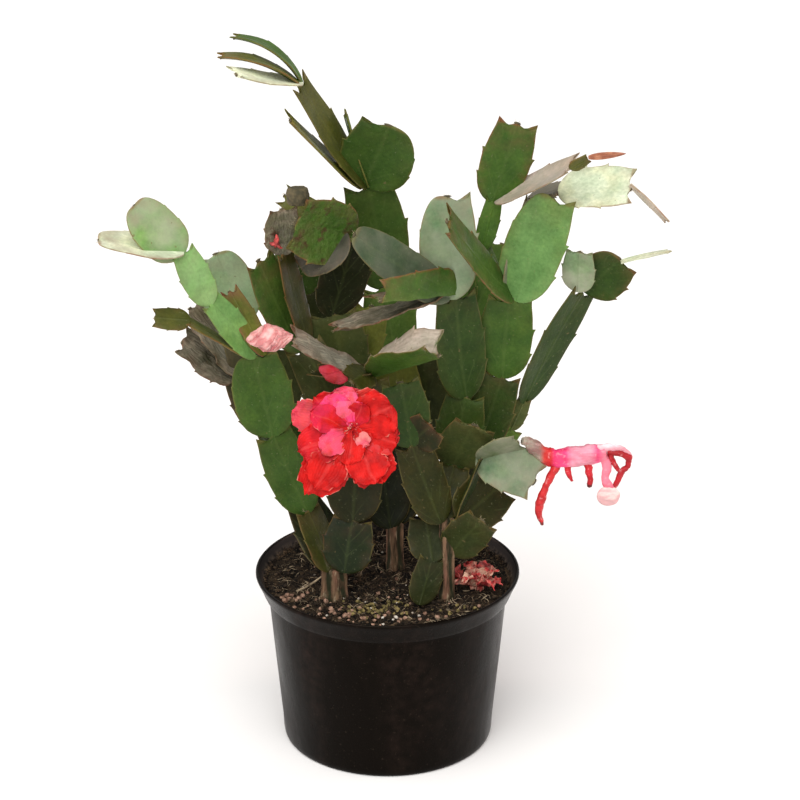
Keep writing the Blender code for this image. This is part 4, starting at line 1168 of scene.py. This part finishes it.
limp = new_finish("limp_petals", (0.7, 0.05, 0.15), 0.42, 0.3)
glow(0.15, (1.0, 0.3, 0.3), 0.002)
tint = attribute("tint", "Color")
darker = blend(1.0, tint, (0.72, 0.45, 0.50), "MULTIPLY")
tone = blend(patches(5, 0.38, 0.60, 4, (0.35, 1, 1)), darker, tint)
feed(coat(tone, (patches(2.4, 0.60, 0.68, 3), 0.25, (0.93, 0.55, 0.55))))
rough_up(patches(1.6, 0.3, 0.7, 4, (0.4, 1, 1)), 0.3)
rags = []
for number, (part, run) in enumerate(WILTED_PARTS):
    rag = strand(run, 8, 5)
    points = rag.data.vertices
    if part in ("veil", "drape"):
        for vertex in points:
            off = vertex.co.y / MM - VEIL_MIDDLE
            vertex.co.y = (VEIL_MIDDLE + off * VEIL_FLATTEN) * MM
    crumple(rag, 3.2, 0.9 if part == "tube" else 0.6, 5.5 + number)
    crumple(rag, 1.2, 0.28, 2.5 + number)
    paint(rag, WILTED_TINTS.get(part, (1, 1, 1)))
    dots = rag.data.attributes["tint"].data
    if part == "tube":
        places, colours = zip(*TUBE_COLOURS)
        for vertex, dot in zip(points, dots):
            dot.color = (*(np.interp(vertex.co.x / MM, places, shades)
                           for shades in zip(*colours)), 1)
    if number in DRIED_TIPS:
        lowest = min(vertex.co.z for vertex in points)
        for vertex, dot in zip(points, dots):
            if vertex.co.z < lowest + DRIED_LENGTH * MM:
                dot.color = (0.16, 0.020, 0.016, 1)
    rags.append(rag)
bpy.ops.mesh.primitive_uv_sphere_add(segments=28, ring_count=18, radius=1)
lump = bpy.context.object
for vertex in lump.data.vertices:
    vertex.co = [at + part * size for at, part, size in zip(PALE_LUMP, vertex.co, PALE_LUMP_SIZE)]
    vertex.co = vertex.co * MM
crumple(lump, 4.0, 0.5, 3.1)
paint(lump, (0.95, 0.86, 0.78))
rags.append(lump)
finish_piece(join(rags), "wilted_flower", limp, ("flower_wilted",))


# The orange shoot: the youngest segment, still narrow, soft and coppery, on the small segment on
# top at the right.
SHOOT_START = Vector((99.4, -14.2, 324.3)) * MM
SHOOT_ROWS = (
    (0.00, 0.00, 0.45), (0.05, 0.05, 0.66), (0.14, 0.14, 0.86), (0.26, 0.26, 0.98),
    (0.40, 0.40, 1.00), (0.55, 0.55, 0.94), (0.68, 0.68, 0.80), (0.80, 0.80, 0.60),
    (0.90, 0.90, 0.38), (0.96, 0.96, 0.20), (1.00, 0.995, 0.05),
)
copper = two_tone("young_shoot", (0.4, 0.14, 0.06), 0.4, 0.5, (4, 0.4, 0.6, 3),
                  (0.27, 0.078, 0.032), (0.45, 0.18, 0.09), (1.2, 0.3, 0.7, 4), 0.1)
pointed = model_blade(SHOOT_ROWS, COLUMNS, THICKNESS, 1.8)
shoot = bend_copy(pointed, 18.5, 3.6, 22, 5, draw, 0.1, 2)
shoot_along = direction(84, 0)
stand(shoot, SHOOT_START, shoot_along, face_of(shoot_along, 20))
finish_piece(shoot, "young_shoot", copper, ("shoot_orange",), flat=50)
discard(pointed)


# The fallen flower: dropped on the compost by the right trunk and dried there, its petals curled
# up into crisp rags of dark pink and cream.
FALLEN_PETALS = (
    (20, 62, 17, 9, -50, 25, 0.2, 0), (85, 42, 15, 9, -55, 25, 0.9, 0),
    (150, 64, 17, 8, -60, 30, 0.3, 0), (215, 50, 16, 9, -55, 25, 1.0, 0),
    (270, 64, 17, 9, -50, 30, 0.1, 0), (325, 46, 15, 8, -60, 20, 0.7, 0),
    (50, 30, 11, 7, -50, 35, 0.9, 0), (180, 26, 11, 7, -40, 35, 0.2, 0),
    (300, 30, 11, 7, -50, 30, 0.5, 0), (118, 70, 15, 6, -60, 40, 0.1, 0),
    (245, 72, 15, 6, -50, 40, 0.6, 0),
)
crisp = new_finish("dried_petals", (0.42, 0.11, 0.08), 0.6)
tone = blend(patches(3, 0.4, 0.6, 4), (0.20, 0.006, 0.010), (0.60, 0.046, 0.044))
feed(coat(tone, (channels("tint")[0], patches(4, 0.44, 0.56, 3), (0.74, 0.46, 0.33))))
rough_up(patches(1.1, 0.3, 0.7, 5), 0.3)
draw = random.Random(44)
floor_height = soil_height(FALLEN_PLACE.x, FALLEN_PLACE.y) + 0.6
fallen_centre = Vector((FALLEN_PLACE.x, FALLEN_PLACE.y, floor_height + 1.0)) * MM
husk = strand((
    (FALLEN_PLACE.x - 4, FALLEN_PLACE.y, floor_height + 1.4, 1.0),
    (FALLEN_PLACE.x - 1, FALLEN_PLACE.y + 1, floor_height + 1.8, 1.8),
    (FALLEN_PLACE.x + 3, FALLEN_PLACE.y, floor_height + 1.6, 1.3)), 5, 4)
paint(husk, (0.6, 0, 0))
fallen = join([husk] + petal_ring(fallen_centre, Vector((0, 0, 1)), FALLEN_PETALS, draw, 1.6, 0.6))
crumple(fallen, 3.0, 0.8, 8.8)
finish_piece(fallen, "fallen_flower", crisp, ("flower_fallen",), flat=60)
discard(petal)


# A rag of an older flower: a few shrivelled petals, dried on to the brown segment at the upper
# left.
RAG_RUNS = (
    ((-55.6, -11.8, 277.4, 0.5), (-55.4, -12.8, 279.0, 1.1), (-55.2, -13.4, 280.8, 1.3),
     (-54.8, -13.6, 282.6, 1.0), (-55.4, -13.2, 284.2, 0.4)),
    ((-55.4, -13.0, 279.4, 1.0), (-57.6, -12.8, 279.2, 0.9), (-59.6, -12.2, 280.6, 0.4)),
    ((-55.2, -13.0, 279.2, 0.9), (-53.6, -12.4, 277.4, 0.8), (-52.0, -11.6, 276.6, 0.4)),
)
rags = [strand(run, 4, 8) for run in RAG_RUNS]
for number, rag in enumerate(rags):
    crumple(rag, 1.6, 0.6, 6.2 + number)
    paint(rag, (0.06, 0, 0))
finish_piece(join(rags), "dried_rag", crisp, flat=60)


# The bristles and pads: each joint and tip has a small corky pad with a few stiff pale hairs,
# which catch the light all over the plant. At the upper left a segment has dried to a thick
# corky stub.
STUB = ((-44.2, -11.0, 299.6, 4.6), (-44.2, -11.0, 302.0, 5.4), (-44.3, -11.0, 305.0, 5.7),
        (-44.4, -11.0, 307.2, 5.0), (-44.4, -11.0, 307.9, 2.6))

bpy.ops.mesh.primitive_cone_add(vertices=3, radius1=0.085 * MM, radius2=0.02 * MM, depth=1 * MM)
hair = bpy.context.object
hair.data.transform(Matrix.Translation((0, 0, 0.5 * MM)))
pad = pebble(2.2, 2, 0.4, 0.55)
draw = random.Random(71)
hair_places, pad_places = [], []
for (stem_name, key), (tip, along, normal, width) in tips.items():
    across = along.cross(normal)
    pad_turn = Matrix((-across, normal, along)).transposed().to_4x4()
    pad_size = Matrix.Diagonal((0.07 * width * MM, 0.8 * MM, 1.1 * MM, 1))
    pad_places.append((0, Matrix.Translation(tip - along * 1.2 * MM) @ pad_turn @ pad_size))
    for _ in range(5):
        way = along + across * draw.uniform(-1.1, 1.1) + normal * draw.uniform(-0.7, 0.7)
        root = tip - along * 0.9 * MM + across * draw.uniform(-0.09, 0.09) * width * MM
        turn = way.normalized().to_track_quat("Z", "Y").to_matrix().to_4x4()
        long = Matrix.Diagonal((1, 1, draw.uniform(1.0, 2.4), 1))
        hair_places.append((0, Matrix.Translation(root) @ turn @ long))
stub = strand(STUB, 4, 14)
crumple(stub, 3.0, 0.7, 4.4)
bristle = new_finish("bristles", (0.42, 0.34, 0.20), 0.6)
finish_piece(gather("bristles", [hair], hair_places), "bristles", bristle)
corky = two_tone("joint_pads", (0.20, 0.14, 0.075), 0.8, 0.5, (2.5, 0.35, 0.65, 4),
                 (0.036, 0.031, 0.012), (0.100, 0.078, 0.036))
finish_piece(join([gather("joint_pads", [pad], pad_places), stub]), "joint_pads", corky)
discard(hair, pad)


# The floor and the light: a plain pale floor under a pale sky, a broad soft light from above, a
# large soft box in front and a small warm one at each side that edges the pot.
bpy.ops.mesh.primitive_plane_add(size=12)
floor = bpy.context.object
floor.name = "floor"
floor.data.materials.append(new_finish("pale_floor", (0.86, 0.855, 0.85), 0.9, 0.2))

world = bpy.data.worlds.new("pale_sky")
world.use_nodes = True
world.node_tree.nodes["Background"].inputs["Color"].default_value = (1.0, 0.995, 0.985, 1)
world.node_tree.nodes["Background"].inputs["Strength"].default_value = 0.55
bpy.context.scene.world = world

bpy.ops.object.light_add(type="SUN", location=(-0.5, -0.8, 2.0))
lamp = bpy.context.object
lamp.name = "soft_overhead"
lamp.data.energy = 2.7
lamp.data.angle = math.radians(55)
lamp.data.color = (1.0, 0.99, 0.97)
lamp.rotation_euler = Vector((0.16, 0.62, -1.0)).to_track_quat("-Z", "Y").to_euler()
for name, place, aim, size, power, colour in (
    ("front_box", (-0.7, -1.9, 0.75), (0, 0, 0.17), 1.2, 8, (1.0, 0.98, 0.95)),
    ("right_box", (1.5, 0.1, 0.35), (0, 0, 0.08), 0.5, 8, (1.0, 0.76, 0.68)),
    ("left_box", (-1.5, 0.3, 0.35), (0, 0, 0.08), 0.5, 6.5, (1.0, 0.76, 0.70)),
):
    bpy.ops.object.light_add(type="AREA", location=place)
    lamp = bpy.context.object
    lamp.name = name
    lamp.data.size = size
    lamp.data.energy = power
    lamp.data.color = colour
    lamp.rotation_euler = (Vector(aim) - Vector(place)).to_track_quat("-Z", "Y").to_euler()
